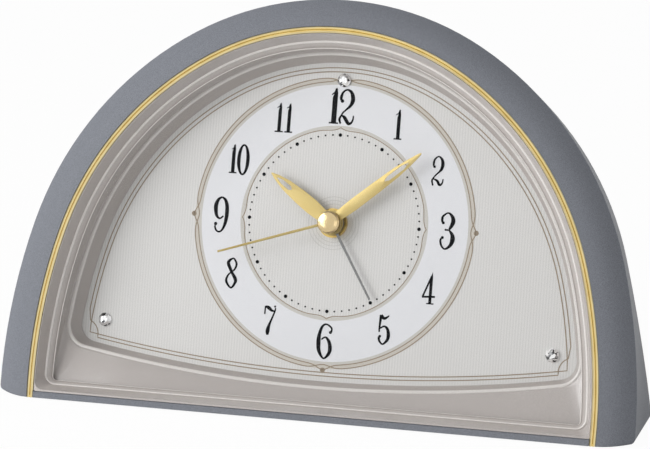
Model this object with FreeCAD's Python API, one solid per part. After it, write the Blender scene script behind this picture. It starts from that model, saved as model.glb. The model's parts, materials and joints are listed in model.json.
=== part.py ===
import FreeCAD, Part
import math
import os

# Beehive shelf alarm clock: a half-round case that leans back, with a gold trim strip,
# a stepped bezel, a flat lens, a printed dial and a quartz alarm movement with four hands.
# Sizes are in millimetres and angles in degrees. Most pieces are drawn in the dial's own
# frame: X to the right, Y up the dial and Z out of the dial, from the hand axis on its face.

V = FreeCAD.Vector

# Stance
tilt = 15.4
foot_gap = 0.5
front_edge_drop = 66.0
front_edge_reach = 17.0
overrun = 3.0

# Outlines of five arcs: rise above the hand axis, radii from the top down, and the angles
# from straight up at which the arcs meet. The crease and the rear outline follow the trim's.
trim_rise = 63.25
trim_radii = [83.5, 104.3, 180.0]
crease_lift = 10.45
crease_growth = [15.1, 9.1, 23.3]
rear_drop = 3.1
rear_growth = [-4.1, -7.6, 404.3]
joint_angles = [30.0, 74.0]

# Case
crease_drop = 5.4
case_depth = 33.0
cover_depth = 4.0
case_wall = 2.3
case_floor = 1.9
front_wall = 4.6
crease_corner = 1.8
rim_corner = 0.6
inner_corner = 1.5
band_shares = [0, 0.25, 0.47, 0.66, 0.83, 1]
cavity_band_share = 0.45
boss_radius = 3.3
boss_offset = 5.2
boss_top_angle = 38.0
boss_side_angle = 84.0
boss_start_gap = 0.3

# Trim strip
trim_width = 2.1
trim_thickness = 2.0
trim_proud = 0.3
trim_bead_height = 0.5
trim_gap = 0.05

# Bezel
bezel_gap = 0.1
bezel_rim_drop = 0.5
bezel_rim_width = 0.2
bezel_rim_foot = 0.6
bezel_floor_gap = 0.15
flange_width = 4.8
flange_thickness = 1.6
flange_screw_offset = 2.6
inner_edge_inset = 9.6
inner_edge_drop = 52.9
inner_bow = 470.0
inner_edge_corner = 6.0
lip_height = 0.4
cove_height = 6.3
cove_depth = 3.0
cove_shares = [(0.2, 0.3), (0.55, 0.72), (0.9, 0.94), (0.985, 1.02), (1.05, 1.2)]
ridge_drop = 55.4
ridge_corner = 8.0
brow_level = 11.4
brow_shares = [(0.1, 0.05), (0.22, 0.17), (1, 1)]
pocket_depth = 3.4
pocket_inset = 2.8
pocket_width = 3.0
pocket_end_rise = 36.0

# Lens
lens_level = 9.6
lens_thickness = 1.2
lens_inset = 3.7
lens_drop = 60.95
lens_corner = 3.4
lens_ledge = 1.25
lens_gap = 0.12

# Dial and its stones
dial_thickness = 0.8
dial_lap = 2.5
stone_radius = 2.35
stone_height = 1.7
stone_girdle = 0.5
stone_table_share = 0.52
stone_sides = 12
top_stone_rise = 47.8
side_stone_span = 77.85
side_stone_drop = 38.1

# Rear cover
cover_wall = 2.0
cover_round = 2.2
cover_round_shares = [(0.5, 0, 0), (0.15, 0.3, 0.2), (0, 1, 0.7)]
heel_half_width = 84.0
heel_reach = 11.0
heel_height = 13.0
heel_toe_height = 3.5
heel_wall = 2.0
knob_hole_gap = 0.7
slot_count = 5
slot_length = 13.0
slot_width = 1.4
slot_pitch = 3.0

# Screws
case_screw_radius = 1.25
case_screw_length = 9.0
case_screw_head_radius = 2.5
case_screw_head_height = 1.5
head_gap = 0.3
bezel_screw_radius = 0.95
bezel_screw_length = 3.2
bezel_screw_head_radius = 1.9
bezel_screw_head_height = 1.1
movement_screw_radius = 0.9
movement_screw_length = 7.0
movement_screw_head_radius = 1.7
movement_screw_head_height = 0.9
screw_gap = 0.02
screw_side_angle = 86.0
screw_top_angle = 22.0

# Feet
pad_length = 14.0
pad_width = 7.0
pad_recess = 0.6
pad_span = 70.0
front_pad_depth = 7.0
rear_pad_inset = 6.0

# Movement case
movement_top = 30.0
movement_bottom = 34.0
movement_plate = 1.6
movement_wall = 1.4
movement_depth = 14.2
back_plate_thickness = 1.4
divider_drop = 15.2
post_half = 2.1
post_inset = 4.0
low_post_inset = 2.4
bush_radius = 4.0
bush_height = 3.0
bush_bore = 2.2
dial_hole_gap = 0.1
nut_radius = 4.9
nut_thickness = 1.5
nut_slot_half = 0.6
nut_slot_depth = 0.5
pivot_radius = 0.5
pivot_depth = 0.9
running_gap = 0.05

# Hand stack, from the outer tube to the arbor in the middle
alarm_tube_radius = 2.15
hour_tube_radius = 1.55
minute_tube_radius = 0.95
second_arbor_radius = 0.45
alarm_blade_level = 2.35
hour_blade_level = 3.3
minute_blade_level = 4.6
second_blade_level = 6.0
collar_radius = 4.2
minute_collar_radius = 3.95
second_collar_radius = 2.2
collar_height = 1.0
collar_drop = 0.2
alarm_collar_height = 0.5
cap_radius = 3.8
cap_height = 1.6
cap_rim = 0.4
cap_profile_shares = [(1, 0), (0.86, 0.5), (0.6, 0.83), (0.3, 0.97), (0, 1)]

# Hands
hour_length = 26.7
minute_length = 38.7
second_length = 39.8
alarm_length = 28.8
hour_half_width = 2.6
minute_half_width = 2.0
second_half_width = 0.48
alarm_half_width = 0.48
blade_edge = 0.15
blade_ridge = 0.45
hour_angle = 305.0
minute_angle = 49.9
second_angle = 252.0
alarm_angle = 148.5
hour_shares = [(0, 0.72), (0.32, 1), (0.52, 0.96), (0.75, 0.76), (0.9, 0.42), (0.985, 0.12), (1, 0.05)]
hour_slot_shares = [(0.66, 0.05), (0.69, 0.3), (0.82, 0.28), (0.9, 0.06)]
minute_shares = [(0, 0.72), (0.25, 1), (0.5, 0.97), (0.73, 0.84), (0.88, 0.52), (0.985, 0.2), (1, 0.08)]
minute_slot_shares = [(0.6, 0.06), (0.64, 0.38), (0.8, 0.36), (0.86, 0.08)]
thin_shares = [(0.0, 1.0), (1.0, 0.72)]

# Gear train: tooth counts and modules; the third module makes both pairs share two axes
alarm_teeth = 40
alarm_set_teeth = 22
alarm_module = 0.34
hour_teeth = 40
hour_pinion_teeth = 10
minute_teeth = 36
cannon_teeth = 12
time_set_teeth = 12
minute_module = 0.35
centre_teeth = 64
third_pinion_teeth = 8
third_teeth = 60
second_pinion_teeth = 8
third_module = 0.3
second_teeth = 40
fifth_pinion_teeth = 8
second_module = 0.42
fifth_teeth = 48
rotor_teeth = 8
rotor_module = 0.25
addendum_share = 0.8
dedendum_share = 1.15
wheel_root_share = 0.7
pinion_tip_share = 0.2
pinion_root_share = 0.5

# Directions of the arbors, anticlockwise from the dial's X axis
third_direction = 120.0
fifth_direction = -150.0
rotor_direction = -135.0
minute_direction = -20.0
time_set_direction = -50.0
alarm_set_direction = 45.0

# Depths of the wheels behind the dial's face
wheel_thickness = 0.8
pinion_lap = 0.2
alarm_wheel_depth = 3.0
hour_wheel_depth = 4.4
minute_wheel_depth = 5.8
centre_wheel_depth = 7.5
third_wheel_depth = 8.95
second_wheel_depth = 10.4
fifth_wheel_depth = 11.7
rotor_depth = 12.9
rotor_magnet_thickness = 1.3
rotor_magnet_radius = 2.6
arbor_radius = 0.7
stud_radius = 0.7
set_shaft_radius = 0.8

# Coil, stator and circuit
stator_depth = 13.3
stator_thickness = 0.6
rotor_hole_gap = 0.5
coil_inset = 9.0
coil_radius = 3.0
coil_length = 17.0
bobbin_flange = 0.8
bobbin_flange_width = 0.9
coil_core_half = 0.9
core_post_half = 1.4
stator_leg_half = 3.4
stator_foot_drop = 10.0
stator_head_rise = 11.0
stator_link_width = 2.6
stator_end_gap = 3.9
board_inset = 18.0
board_width = 15.0
board_bottom = 4.0
board_height = 19.0
board_depth = 11.8
board_thickness = 1.0
board_post_half = 1.2
board_post_inset = 2.5
crystal_radius = 1.0
crystal_length = 6.0
chip_half = 3.0
chip_height = 0.9

# Battery
battery_radius = 7.1
battery_length = 49.5
battery_nub_radius = 2.7
battery_nub_length = 1.0
battery_drop = 24.7
battery_gap = 0.2
battery_end_room = 5.25
contact_thickness = 0.3
contact_half = 5.0

# Battery door
door_inset = 3.0
door_top_drop = 15.6
door_bottom_drop = 33.4
door_gap = 0.25
door_inner_gap = 0.2
door_skin_inset = 0.1
tab_span = 16.0
tab_half_width = 3.0
tab_reach = 1.9
tab_thickness = 1.0
tab_root = 1.6
tab_gap = 0.15
grip_half_width = 6.0
grip_height = 3.4
grip_depth = 0.8

# Knobs
knob_radius = 5.4
knob_length = 5.0
knob_gap = 1.0
knob_ridges = 20
ridge_depth = 0.6
knob_bore_length = 4.0

# Alarm switch
switch_clearance = 10.0
switch_rise = 6.0
switch_travel = 3.5
switch_body_width = 8.0
switch_body_length = 14.0
switch_body_thickness = 3.6
switch_stem_half = 1.3
switch_stem_length = 1.4
switch_cap_width = 4.4
switch_cap_length = 5.0
switch_cap_height = 1.4
switch_gap = 0.2

# Sounder
sounder_radius = 10.5
sounder_thickness = 3.6
sounder_clearance = 14.0
sounder_rise = 4.0
sounder_bore = 1.5
sounder_bore_depth = 1.0

half_turn = 180.0

# The movement is as wide as its cell needs, and what stands in it or beside it follows
movement_half_width = battery_length / 2 + battery_end_room
coil_offset = movement_half_width - coil_inset
board_near = movement_half_width - board_inset
door_half_width = movement_half_width - door_inset
switch_offset = movement_half_width + switch_clearance
sounder_offset = movement_half_width + sounder_clearance

crease_rise = trim_rise + crease_lift
crease_radii = [radius + growth for radius, growth in zip(trim_radii, crease_growth)]
rear_rise = crease_rise - rear_drop
rear_radii = [radius + growth for radius, growth in zip(crease_radii, rear_growth)]

cos_tilt = math.cos(math.radians(tilt))
sin_tilt = math.sin(math.radians(tilt))
hub_depth = front_edge_drop * sin_tilt + front_edge_reach * cos_tilt
hub_height = foot_gap + front_edge_drop * cos_tilt - front_edge_reach * sin_tilt
crease_level = front_edge_reach - crease_drop
seam_level = front_edge_reach - case_depth
back_level = seam_level - cover_depth
cover_inner_level = back_level + cover_wall
flange_level = front_edge_reach - front_wall
base_level = -dial_thickness
base_inner_level = base_level - movement_plate
base_back_level = base_level - movement_depth
plate_back_level = base_back_level - back_plate_thickness
battery_level = base_inner_level - battery_gap - battery_radius


def polar(radius, angle):
    """A point at an angle that is measured clockwise from straight up the dial."""
    turn = math.radians(angle)
    return V(radius * math.sin(turn), radius * math.cos(turn), 0)


def unit(vector):
    return V(vector).normalize()


def arc(centre, start, end):
    """The short arc about a centre from one point to another."""
    radius = start.distanceToPoint(centre)
    middle = centre + unit(start + end - centre * 2) * radius
    return Part.Arc(start, middle, end).toShape()


def meeting(centre_a, radius_a, centre_b, radius_b):
    """The lower of the two points where two circles cross."""
    span = centre_b - centre_a
    along = (radius_a**2 - radius_b**2 + span.Length**2) / (2 * span.Length)
    across = math.sqrt(radius_a**2 - along**2)
    ahead = unit(span)
    side = V(-ahead.y, ahead.x, 0)
    points = [centre_a + ahead * along + side * across * sign for sign in (-1, 1)]
    return min(points, key=lambda point: point.y)


def foot_at(level, height=0):
    """Where a level of the dial's frame meets a height above the case's flat underside."""
    return -front_edge_drop + (height + (front_edge_reach - level) * sin_tilt) / cos_tilt


class Arch:
    """A half-round outline of five arcs that meet smoothly, held by its right half."""

    def __init__(self, rise, radii):
        self.rise = rise
        self.radii = radii
        self.centres = [V(0, rise - radii[0], 0)]
        for k, angle in enumerate(joint_angles):
            self.centres.append(self.centres[k] + polar(radii[k] - radii[k + 1], angle))

    def grown(self, distance):
        return Arch(self.rise + distance, [r + distance for r in self.radii])

    def blended(self, other, share):
        rise = self.rise + (other.rise - self.rise) * share
        radii = [a + (b - a) * share for a, b in zip(self.radii, other.radii)]
        return Arch(rise, radii)

    def point(self, angle):
        for k, limit in enumerate(joint_angles):
            if angle <= limit:
                return self.centres[k] + polar(self.radii[k], angle)
        return self.centres[2] + polar(self.radii[2], angle)

    def edges(self, level, foot, corner, bow=0):
        """The outline closed at its foot by a line, or by an arc of radius bow that sags."""
        side = self.centres[2]
        if bow:
            pole = V(0, foot + bow, 0)
            knee = meeting(side, self.radii[2] - corner, pole, bow - corner)
            toe = pole + unit(knee - pole) * bow
        else:
            knee_y = foot + corner
            reach = math.sqrt((self.radii[2] - corner) ** 2 - (knee_y - side.y) ** 2)
            knee = V(side.x + reach, knee_y, 0)
            toe = V(knee.x, foot, 0)
        heel = side + unit(knee - side) * self.radii[2]
        hip = self.point(joint_angles[1])
        shoulder = self.point(joint_angles[0])
        right = [(knee, toe, heel), (side, heel, hip), (self.centres[1], hip, shoulder)]
        toe_left = V(-toe.x, toe.y, 0)
        if bow:
            bottom = arc(pole, toe_left, toe)
        else:
            bottom = Part.LineSegment(toe_left, toe).toShape()
        result = [bottom] + [arc(*one) for one in right]
        result.append(arc(self.centres[0], shoulder, V(-shoulder.x, shoulder.y, 0)))
        for centre, start, end in reversed(right):
            left = [V(-p.x, p.y, 0) for p in (centre, end, start)]
            result.append(arc(*left))
        for edge in result:
            edge.translate(V(0, 0, level))
        return result


def ruled_solid(sections):
    """A solid through outlines that have the same number of edges."""
    faces = [Part.Face(Part.Wire(sections[0])), Part.Face(Part.Wire(sections[-1]))]
    for lower, upper in zip(sections, sections[1:]):
        faces += [Part.makeRuledSurface(a, b) for a, b in zip(lower, upper)]
    shell = Part.makeShell(faces)
    shell.sewShape()
    solid = Part.Solid(shell)
    if solid.Volume < 0:
        solid.reverse()
    return solid


def swept(arch, profile, foot):
    """A profile of (offset, level) points carried round the arch and down to its foot."""
    side_turn = math.degrees(math.acos((foot - arch.centres[2].y) / arch.radii[2]))
    spans = [(0, -joint_angles[0], joint_angles[0])]
    spans.append((1, joint_angles[0], joint_angles[1]))
    spans.append((2, joint_angles[1], side_turn))
    pieces = []
    for k, start, end in spans:
        centre = arch.centres[k]
        corners = []
        for offset, level in profile:
            corners.append(centre + polar(arch.radii[k] + offset, start) + V(0, 0, level))
        face = Part.Face(Part.makePolygon(corners + corners[:1]))
        piece = face.revolve(centre, V(0, 0, 1), start - end)
        pieces.append(piece)
        if k:
            pieces.append(piece.mirror(V(0, 0, 0), V(1, 0, 0)))
    return pieces[0].fuse(pieces[1:]).removeSplitter()


def disc(radius, level, top, centre=V(0, 0, 0)):
    """A cylinder along the dial's normal from one level to a higher one."""
    return Part.makeCylinder(radius, top - level, V(centre.x, centre.y, level))


def tube(radius, bore, level, top, centre=V(0, 0, 0)):
    return disc(radius, level, top, centre).cut(disc(bore, level, top, centre))


def block(x, y, z):
    """A box from its low and high coordinate on each axis."""
    return Part.makeBox(x[1] - x[0], y[1] - y[0], z[1] - z[0], V(x[0], y[0], z[0]))


def prism(points, level, top):
    corners = [V(p.x, p.y, level) for p in points]
    return Part.Face(Part.makePolygon(corners + corners[:1])).extrude(V(0, 0, top - level))


def lean():
    """The placement that carries the dial's frame into the clock's own frame."""
    turn = FreeCAD.Rotation(V(1, 0, 0), 90 - tilt)
    return FreeCAD.Placement(V(0, hub_depth - middle_depth(), hub_height), turn)


def depth_of(level, rise):
    """How far behind the front edge a point of the dial's frame lies."""
    return (rise + front_edge_drop) * sin_tilt + (front_edge_reach - level) * cos_tilt


def cover_levels():
    """The rear cover's outer outlines: level, inset and height of the foot."""
    levels = [(seam_level, 0, 0)]
    for level_share, inset_share, foot_share in cover_round_shares:
        level = back_level + cover_round * level_share
        levels.append((level, cover_round * inset_share, cover_round * foot_share))
    return levels


def side_arch(level):
    """The case's outline at a level behind the crease."""
    share = (crease_level - level) / (crease_level - back_level)
    return crease.blended(rear, share)


def middle_depth():
    """Half way from the trim's front to the cover's rearmost edge."""
    nose_level = front_edge_reach + trim_proud
    nose = depth_of(nose_level, foot_at(nose_level))
    tail = max(depth_of(a, side_arch(a).rise - b) for a, b, c in cover_levels())
    return (nose + tail) / 2


trim = Arch(trim_rise, trim_radii)
crease = Arch(crease_rise, crease_radii)
rear = Arch(rear_rise, rear_radii)


def below_table(height):
    """Everything under a height above the case's underside, in the dial's frame."""
    reach = crease_radii[1] * 2
    slab = block((-reach, reach), (-reach, reach), (-reach, foot_gap + height))
    slab.Placement = lean().inverse()
    return slab


def boss_points():
    line = trim.grown(boss_offset)
    points = []
    for angle in (boss_top_angle, boss_side_angle):
        for side in (-1, 1):
            spot = line.point(angle)
            points.append(V(spot.x * side, spot.y, 0))
    return points


def bezel_screw_points():
    line = trim.grown(flange_screw_offset)
    points = []
    for angle in (screw_top_angle, screw_side_angle):
        for side in (-1, 1):
            spot = line.point(angle)
            points.append(V(spot.x * side, spot.y, 0))
    return points


def pad_places():
    """Pad centres in the clock's frame, two under the case and two under the heel."""
    rear_depth = heel_end() - rear_pad_inset
    depths = (front_pad_depth - middle_depth(), rear_depth)
    return [V(pad_span * side, depth, 0) for depth in depths for side in (-1, 1)]


def heel_start():
    """Where the rear cover's flat underside ends, from the middle of the clock."""
    return depth_of(seam_level, foot_at(seam_level)) - middle_depth()


def heel_end():
    return depth_of(back_level, foot_at(back_level)) - middle_depth() + heel_reach


def upright_pad(place, grow, low, high):
    """A pad-shaped block in the clock's own frame."""
    x_reach = pad_length / 2 + grow
    y_reach = pad_width / 2 + grow
    x = (place.x - x_reach, place.x + x_reach)
    return block(x, (place.y - y_reach, place.y + y_reach), (low, high))


def into_dial_frame(shape):
    shape.Placement = lean().inverse().multiply(shape.Placement)
    return shape


def band_sections():
    rim = trim.grown(trim_width / 2 + trim_gap)
    sections = []
    for share in band_shares:
        level = front_edge_reach - crease_drop * share**2
        corner = rim_corner + (crease_corner - rim_corner) * share
        outline = rim.blended(crease, share)
        sections.append(outline.edges(level, foot_at(level), corner))
    return sections


def case_outer():
    seam = side_arch(seam_level).edges(seam_level, foot_at(seam_level), crease_corner)
    return ruled_solid(band_sections() + [seam])


def case_cavity():
    rim = trim.grown(trim_width / 2)
    front = rim.blended(crease, cavity_band_share)
    shoulder_level = crease_level - case_wall
    back = seam_level - overrun
    sections = []
    for outline, level in (
        (front, flange_level),
        (crease.grown(-case_wall), shoulder_level),
        (side_arch(back).grown(-case_wall), back),
    ):
        sections.append(outline.edges(level, foot_at(level, case_floor), inner_corner))
    return ruled_solid(sections)


def case_opening():
    outline = trim.grown(-trim_width / 2 - trim_gap)
    sections = []
    for level in (flange_level - overrun, front_edge_reach + overrun):
        sections.append(outline.edges(level, foot_at(level, case_floor), rim_corner))
    return ruled_solid(sections)


def trim_channel():
    half = trim_width / 2 + trim_gap
    low = front_edge_reach + trim_proud - trim_thickness
    profile = [(-half - trim_gap, low), (half, low)]
    profile += [(half, low + overrun), (-half - trim_gap, low + overrun)]
    return swept(trim, profile, foot_at(low) - overrun)


def make_front_case():
    outer = case_outer()
    case = outer.cut(case_cavity())
    front = flange_level - flange_thickness - boss_start_gap
    bosses = [disc(boss_radius, seam_level, front, spot) for spot in boss_points()]
    case = case.fuse([boss.common(outer) for boss in bosses])
    case = case.cut(case_opening()).cut(trim_channel())
    depth = case_screw_length - cover_depth
    holes = []
    for spot in boss_points():
        radius = case_screw_radius + screw_gap
        holes.append(disc(radius, seam_level, seam_level + depth + head_gap, spot))
    for spot in bezel_screw_points():
        radius = bezel_screw_radius + screw_gap
        top = flange_level + bezel_screw_length - flange_thickness + screw_gap
        holes.append(disc(radius, flange_level, top, spot))
    for place in pad_places()[:2]:
        pad = upright_pad(place, screw_gap, 0, foot_gap + pad_recess)
        holes.append(into_dial_frame(pad))
    return case.cut(holes)


def make_trim():
    half = trim_width / 2
    low = front_edge_reach + trim_proud - trim_thickness
    top = front_edge_reach + trim_proud
    edge = top - trim_bead_height
    profile = [(-half, low), (half, low), (half, edge), (half / 2, top)]
    profile += [(0, edge), (-half / 2, top), (-half, edge)]
    strip = swept(trim, profile, foot_at(low) - overrun)
    return strip.cut(below_table(0))


def funnel_sections():
    """The bezel's stepped inside, from the dial up to the rim."""
    inner = trim.grown(-inner_edge_inset)
    seat = trim.grown(-lens_inset - lens_ledge)
    seat_foot = -lens_drop + lens_ledge
    rim_inset = trim_width / 2 + bezel_gap + trim_gap + bezel_rim_width
    rim_level = front_edge_reach - bezel_rim_drop
    rim_foot = foot_at(rim_level, case_floor + bezel_floor_gap) + bezel_rim_foot
    sections = [inner.edges(-overrun, -inner_edge_drop, inner_edge_corner, inner_bow)]
    sections.append(inner.edges(lip_height, -inner_edge_drop, inner_edge_corner, inner_bow))
    for rise_share, out_share in cove_shares:
        level = lip_height + (cove_height - lip_height) * rise_share
        foot = -inner_edge_drop - (ridge_drop - inner_edge_drop) * out_share
        corner = inner_edge_corner + (ridge_corner - inner_edge_corner) * out_share
        outline = trim.grown(-inner_edge_inset + cove_depth * out_share)
        sections.append(outline.edges(level, foot, corner, inner_bow))
    sections.append(seat.edges(lens_level, seat_foot, lens_corner - lens_ledge))
    wall = trim.grown(-lens_inset)
    sections.append(wall.edges(lens_level, -lens_drop, lens_corner))
    sections.append(wall.edges(brow_level, -lens_drop, lens_corner))
    for rise_share, out_share in brow_shares:
        level = brow_level + (rim_level - brow_level) * rise_share
        foot = -lens_drop + (rim_foot + lens_drop) * out_share
        outline = wall.grown((lens_inset - rim_inset) * out_share)
        sections.append(outline.edges(level, foot, lens_corner - rim_corner * out_share))
    rim = trim.grown(-rim_inset)
    sections.append(rim.edges(rim_level + overrun, rim_foot, lens_corner - rim_corner))
    return sections


def make_bezel():
    outline = trim.grown(-trim_width / 2 - trim_gap - bezel_gap)
    height = case_floor + bezel_floor_gap
    rim_level = front_edge_reach - bezel_rim_drop
    sections = []
    for level in (0, rim_level):
        sections.append(outline.edges(level, foot_at(level, height), rim_corner))
    body = ruled_solid(sections)
    flange = trim.grown(flange_width)
    sections = []
    for level in (flange_level - flange_thickness, flange_level):
        sections.append(flange.edges(level, foot_at(level, height), rim_corner))
    body = body.fuse(ruled_solid(sections)).cut(ruled_solid(funnel_sections()))
    near = -pocket_inset
    far = near - pocket_width
    profile = [(near, -overrun), (far, -overrun), (far, pocket_depth), (near, pocket_depth)]
    body = body.cut(swept(trim, profile, -pocket_end_rise))
    radius = bezel_screw_radius + running_gap
    low = flange_level - flange_thickness
    return body.cut([disc(radius, low, flange_level, spot) for spot in bezel_screw_points()])


def make_lens():
    outline = trim.grown(-lens_inset - lens_gap)
    foot = -lens_drop + lens_gap
    levels = (lens_level, lens_level + lens_thickness)
    return ruled_solid([outline.edges(level, foot, lens_corner - lens_gap) for level in levels])


def dial_outline(level):
    outline = trim.grown(-inner_edge_inset + dial_lap)
    return outline.edges(level, -inner_edge_drop - dial_lap, inner_edge_corner, inner_bow)


def make_dial():
    plate = ruled_solid([dial_outline(-dial_thickness), dial_outline(0)])
    return plate.cut(disc(bush_radius + dial_hole_gap, -dial_thickness, 0))


def stone_places():
    sides = [V(side_stone_span * s, -side_stone_drop, 0) for s in (-1, 1)]
    return [V(0, top_stone_rise, 0)] + sides


def make_stone(place):
    """A flat-backed cut stone: a girdle, a crown of facets and a table."""
    def ring(radius, level, start):
        step = 360 / stone_sides
        points = [polar(radius, start + k * step) + place for k in range(stone_sides)]
        corners = [V(p.x, p.y, level) for p in points]
        return Part.makePolygon(corners + corners[:1]).Edges

    table = stone_radius * stone_table_share
    rings = [ring(stone_radius, 0, 0), ring(stone_radius, stone_girdle, 0)]
    rings.append(ring(table, stone_height, 0))
    return ruled_solid(rings)


def make_screw(spot, radius, length, head_radius, head_height, seat):
    """A screw driven towards the front, with the underside of its head at a level."""
    shank = disc(radius, seat, seat + length, spot)
    return shank.fuse(disc(head_radius, seat - head_height, seat, spot))


def make_case_screws():
    seat = back_level + case_screw_head_height
    sizes = (case_screw_radius, case_screw_length - case_screw_head_height)
    sizes += (case_screw_head_radius, case_screw_head_height)
    return [make_screw(spot, *sizes, seat) for spot in boss_points()]


def make_bezel_screws():
    seat = flange_level - flange_thickness
    sizes = (bezel_screw_radius, bezel_screw_length)
    sizes += (bezel_screw_head_radius, bezel_screw_head_height)
    return [make_screw(spot, *sizes, seat) for spot in bezel_screw_points()]


def movement_posts():
    x = movement_half_width - post_inset
    top = movement_top - post_inset
    low = -divider_drop + low_post_inset
    return [V(x * s, y, 0) for y in (low, top) for s in (-1, 1)]


def make_movement_screws():
    sizes = (movement_screw_radius, movement_screw_length)
    sizes += (movement_screw_head_radius, movement_screw_head_height)
    return [make_screw(spot, *sizes, plate_back_level) for spot in movement_posts()]


def compass(radius, direction, start=V(0, 0, 0)):
    """A point at an anticlockwise direction from another point."""
    turn = math.radians(direction)
    return start + V(radius * math.cos(turn), radius * math.sin(turn), 0)


def pair_distance(module, teeth_a, teeth_b):
    return module * (teeth_a + teeth_b) / 2


third_axis = compass(pair_distance(third_module, third_teeth, second_pinion_teeth), third_direction)
centre_module = 2 * third_axis.Length / (centre_teeth + third_pinion_teeth)
fifth_axis = compass(pair_distance(second_module, second_teeth, fifth_pinion_teeth), fifth_direction)
rotor_axis = compass(pair_distance(rotor_module, fifth_teeth, rotor_teeth), rotor_direction, fifth_axis)
minute_axis = compass(pair_distance(minute_module, minute_teeth, cannon_teeth), minute_direction)
hour_module = 2 * minute_axis.Length / (hour_teeth + hour_pinion_teeth)
time_set_reach = pair_distance(minute_module, minute_teeth, time_set_teeth)
time_set_axis = compass(time_set_reach, time_set_direction, minute_axis)
alarm_set_reach = pair_distance(alarm_module, alarm_teeth, alarm_set_teeth)
alarm_set_axis = compass(alarm_set_reach, alarm_set_direction)


def gear(teeth, module, centre, direction, level, thickness, pinion=False, gap_ahead=False):
    """A toothed disc with a tooth, or a gap, that points along a direction.

    Wheels have pointed teeth, and pinions have leaves with flat tips."""
    pitch_radius = module * teeth / 2
    tip = pitch_radius + module * addendum_share
    root = pitch_radius - module * dedendum_share
    root_share = pinion_root_share if pinion else wheel_root_share
    corners = [(root, -root_share / 2), (root, root_share / 2)]
    tips = [(tip, -pinion_tip_share / 2), (tip, pinion_tip_share / 2)] if pinion else [(tip, 0)]
    corners[1:1] = tips
    step = 360 / teeth
    start = direction + (step / 2 if gap_ahead else 0)
    points = []
    for k in range(teeth):
        for radius, share in corners:
            points.append(compass(radius, start + (k + share) * step, centre))
    return prism(points, level - thickness, level)


def arbor(centre, radius, ends=(base_inner_level, base_back_level)):
    """A shaft between the plates with a thinner pivot in each bearing."""
    front, back = ends
    shaft = disc(radius, back + running_gap, front - running_gap, centre)
    reach = pivot_depth - running_gap
    return shaft.fuse(disc(pivot_radius, back - reach, front + reach, centre))


def bearing(centre, level, depth):
    return disc(pivot_radius + running_gap, min(level, level + depth), max(level, level + depth), centre)


def square_post(spot, half, low):
    """A post on the back of the movement's front plate."""
    x = (spot.x - half, spot.x + half)
    return block(x, (spot.y - half, spot.y + half), (low, base_inner_level))


def make_movement_base():
    x = (-movement_half_width, movement_half_width)
    shell = block(x, (-movement_bottom, movement_top), (base_back_level, base_level))
    inner_x = (x[0] + movement_wall, x[1] - movement_wall)
    upper = (-divider_drop, movement_top - movement_wall)
    lower = (-movement_bottom + movement_wall, -divider_drop - movement_wall)
    for span in (upper, lower):
        shell = shell.cut(block(inner_x, span, (base_back_level - overrun, base_inner_level)))
    posts = [square_post(p, post_half, base_back_level) for p in movement_posts()]
    posts += [square_post(p, board_post_half, -board_depth) for p in board_posts()]
    posts.append(disc(stud_radius, -minute_stud_end(), base_inner_level, minute_axis))
    bush = disc(bush_radius, base_level, base_level + bush_height)
    shell = shell.fuse(posts + [bush])
    cuts = [disc(bush_bore, base_inner_level, base_level + bush_height)]
    for centre in (third_axis, fifth_axis, rotor_axis):
        cuts.append(bearing(centre, base_inner_level, pivot_depth))
    for centre in (time_set_axis, alarm_set_axis):
        cuts.append(bearing(centre, base_inner_level, pivot_depth))
    depth = movement_screw_length - back_plate_thickness
    for spot in movement_posts():
        radius = movement_screw_radius + screw_gap
        cuts.append(disc(radius, base_back_level, base_back_level + depth + screw_gap, spot))
    return shell.cut(cuts)


def make_movement_back():
    x = (-movement_half_width, movement_half_width)
    y = (-divider_drop - movement_wall, movement_top)
    plate = block(x, y, (plate_back_level, base_back_level))
    cuts = [bearing(c, base_back_level, -pivot_depth) for c in (third_axis, fifth_axis, rotor_axis)]
    cuts.append(bearing(V(0, 0, 0), base_back_level, -pivot_depth))
    for centre in (time_set_axis, alarm_set_axis):
        cuts.append(disc(set_shaft_radius + running_gap, plate_back_level, base_back_level, centre))
    for spot in movement_posts():
        cuts.append(disc(movement_screw_radius + running_gap, plate_back_level, base_back_level, spot))
    return plate.cut(cuts)


def make_dial_nut():
    """A round nut on the threaded bush, against the dial's face, with a slot for its spanner."""
    nut = disc(nut_radius, 0, nut_thickness).cut(disc(bush_radius + screw_gap, 0, nut_thickness))
    levels = (nut_thickness - nut_slot_depth, nut_thickness)
    slot = (-nut_slot_half, nut_slot_half)
    return nut.cut(block((-nut_radius, nut_radius), slot, levels))


def minute_stud_end():
    return minute_wheel_depth + wheel_thickness + pinion_lap


def make_alarm_wheel():
    direction = alarm_set_direction
    wheel = gear(alarm_teeth, alarm_module, V(0, 0, 0), direction, -alarm_wheel_depth, wheel_thickness)
    top = alarm_blade_level + alarm_collar_height
    wheel = wheel.fuse(disc(alarm_tube_radius, -alarm_wheel_depth - wheel_thickness, top))
    bore = hour_tube_radius + running_gap
    return wheel.cut(disc(bore, -alarm_wheel_depth - wheel_thickness, top))


def make_hour_wheel():
    low = -hour_wheel_depth - wheel_thickness
    wheel = gear(hour_teeth, hour_module, V(0, 0, 0), minute_direction, -hour_wheel_depth, wheel_thickness)
    top = hour_blade_level + collar_height - collar_drop
    wheel = wheel.fuse(disc(hour_tube_radius, low, top))
    return wheel.cut(disc(minute_tube_radius + running_gap, low, top))


def make_cannon():
    low = -centre_wheel_depth - wheel_thickness - pinion_lap
    top = minute_blade_level + collar_height - collar_drop
    level = -minute_wheel_depth + pinion_lap
    thickness = wheel_thickness + pinion_lap * 2
    leaf = gear(cannon_teeth, minute_module, V(0, 0, 0), minute_direction, level, thickness, True, True)
    cannon = leaf.fuse(disc(minute_tube_radius, low, top))
    return cannon.cut(disc(second_arbor_radius + running_gap, low, top))


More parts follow.
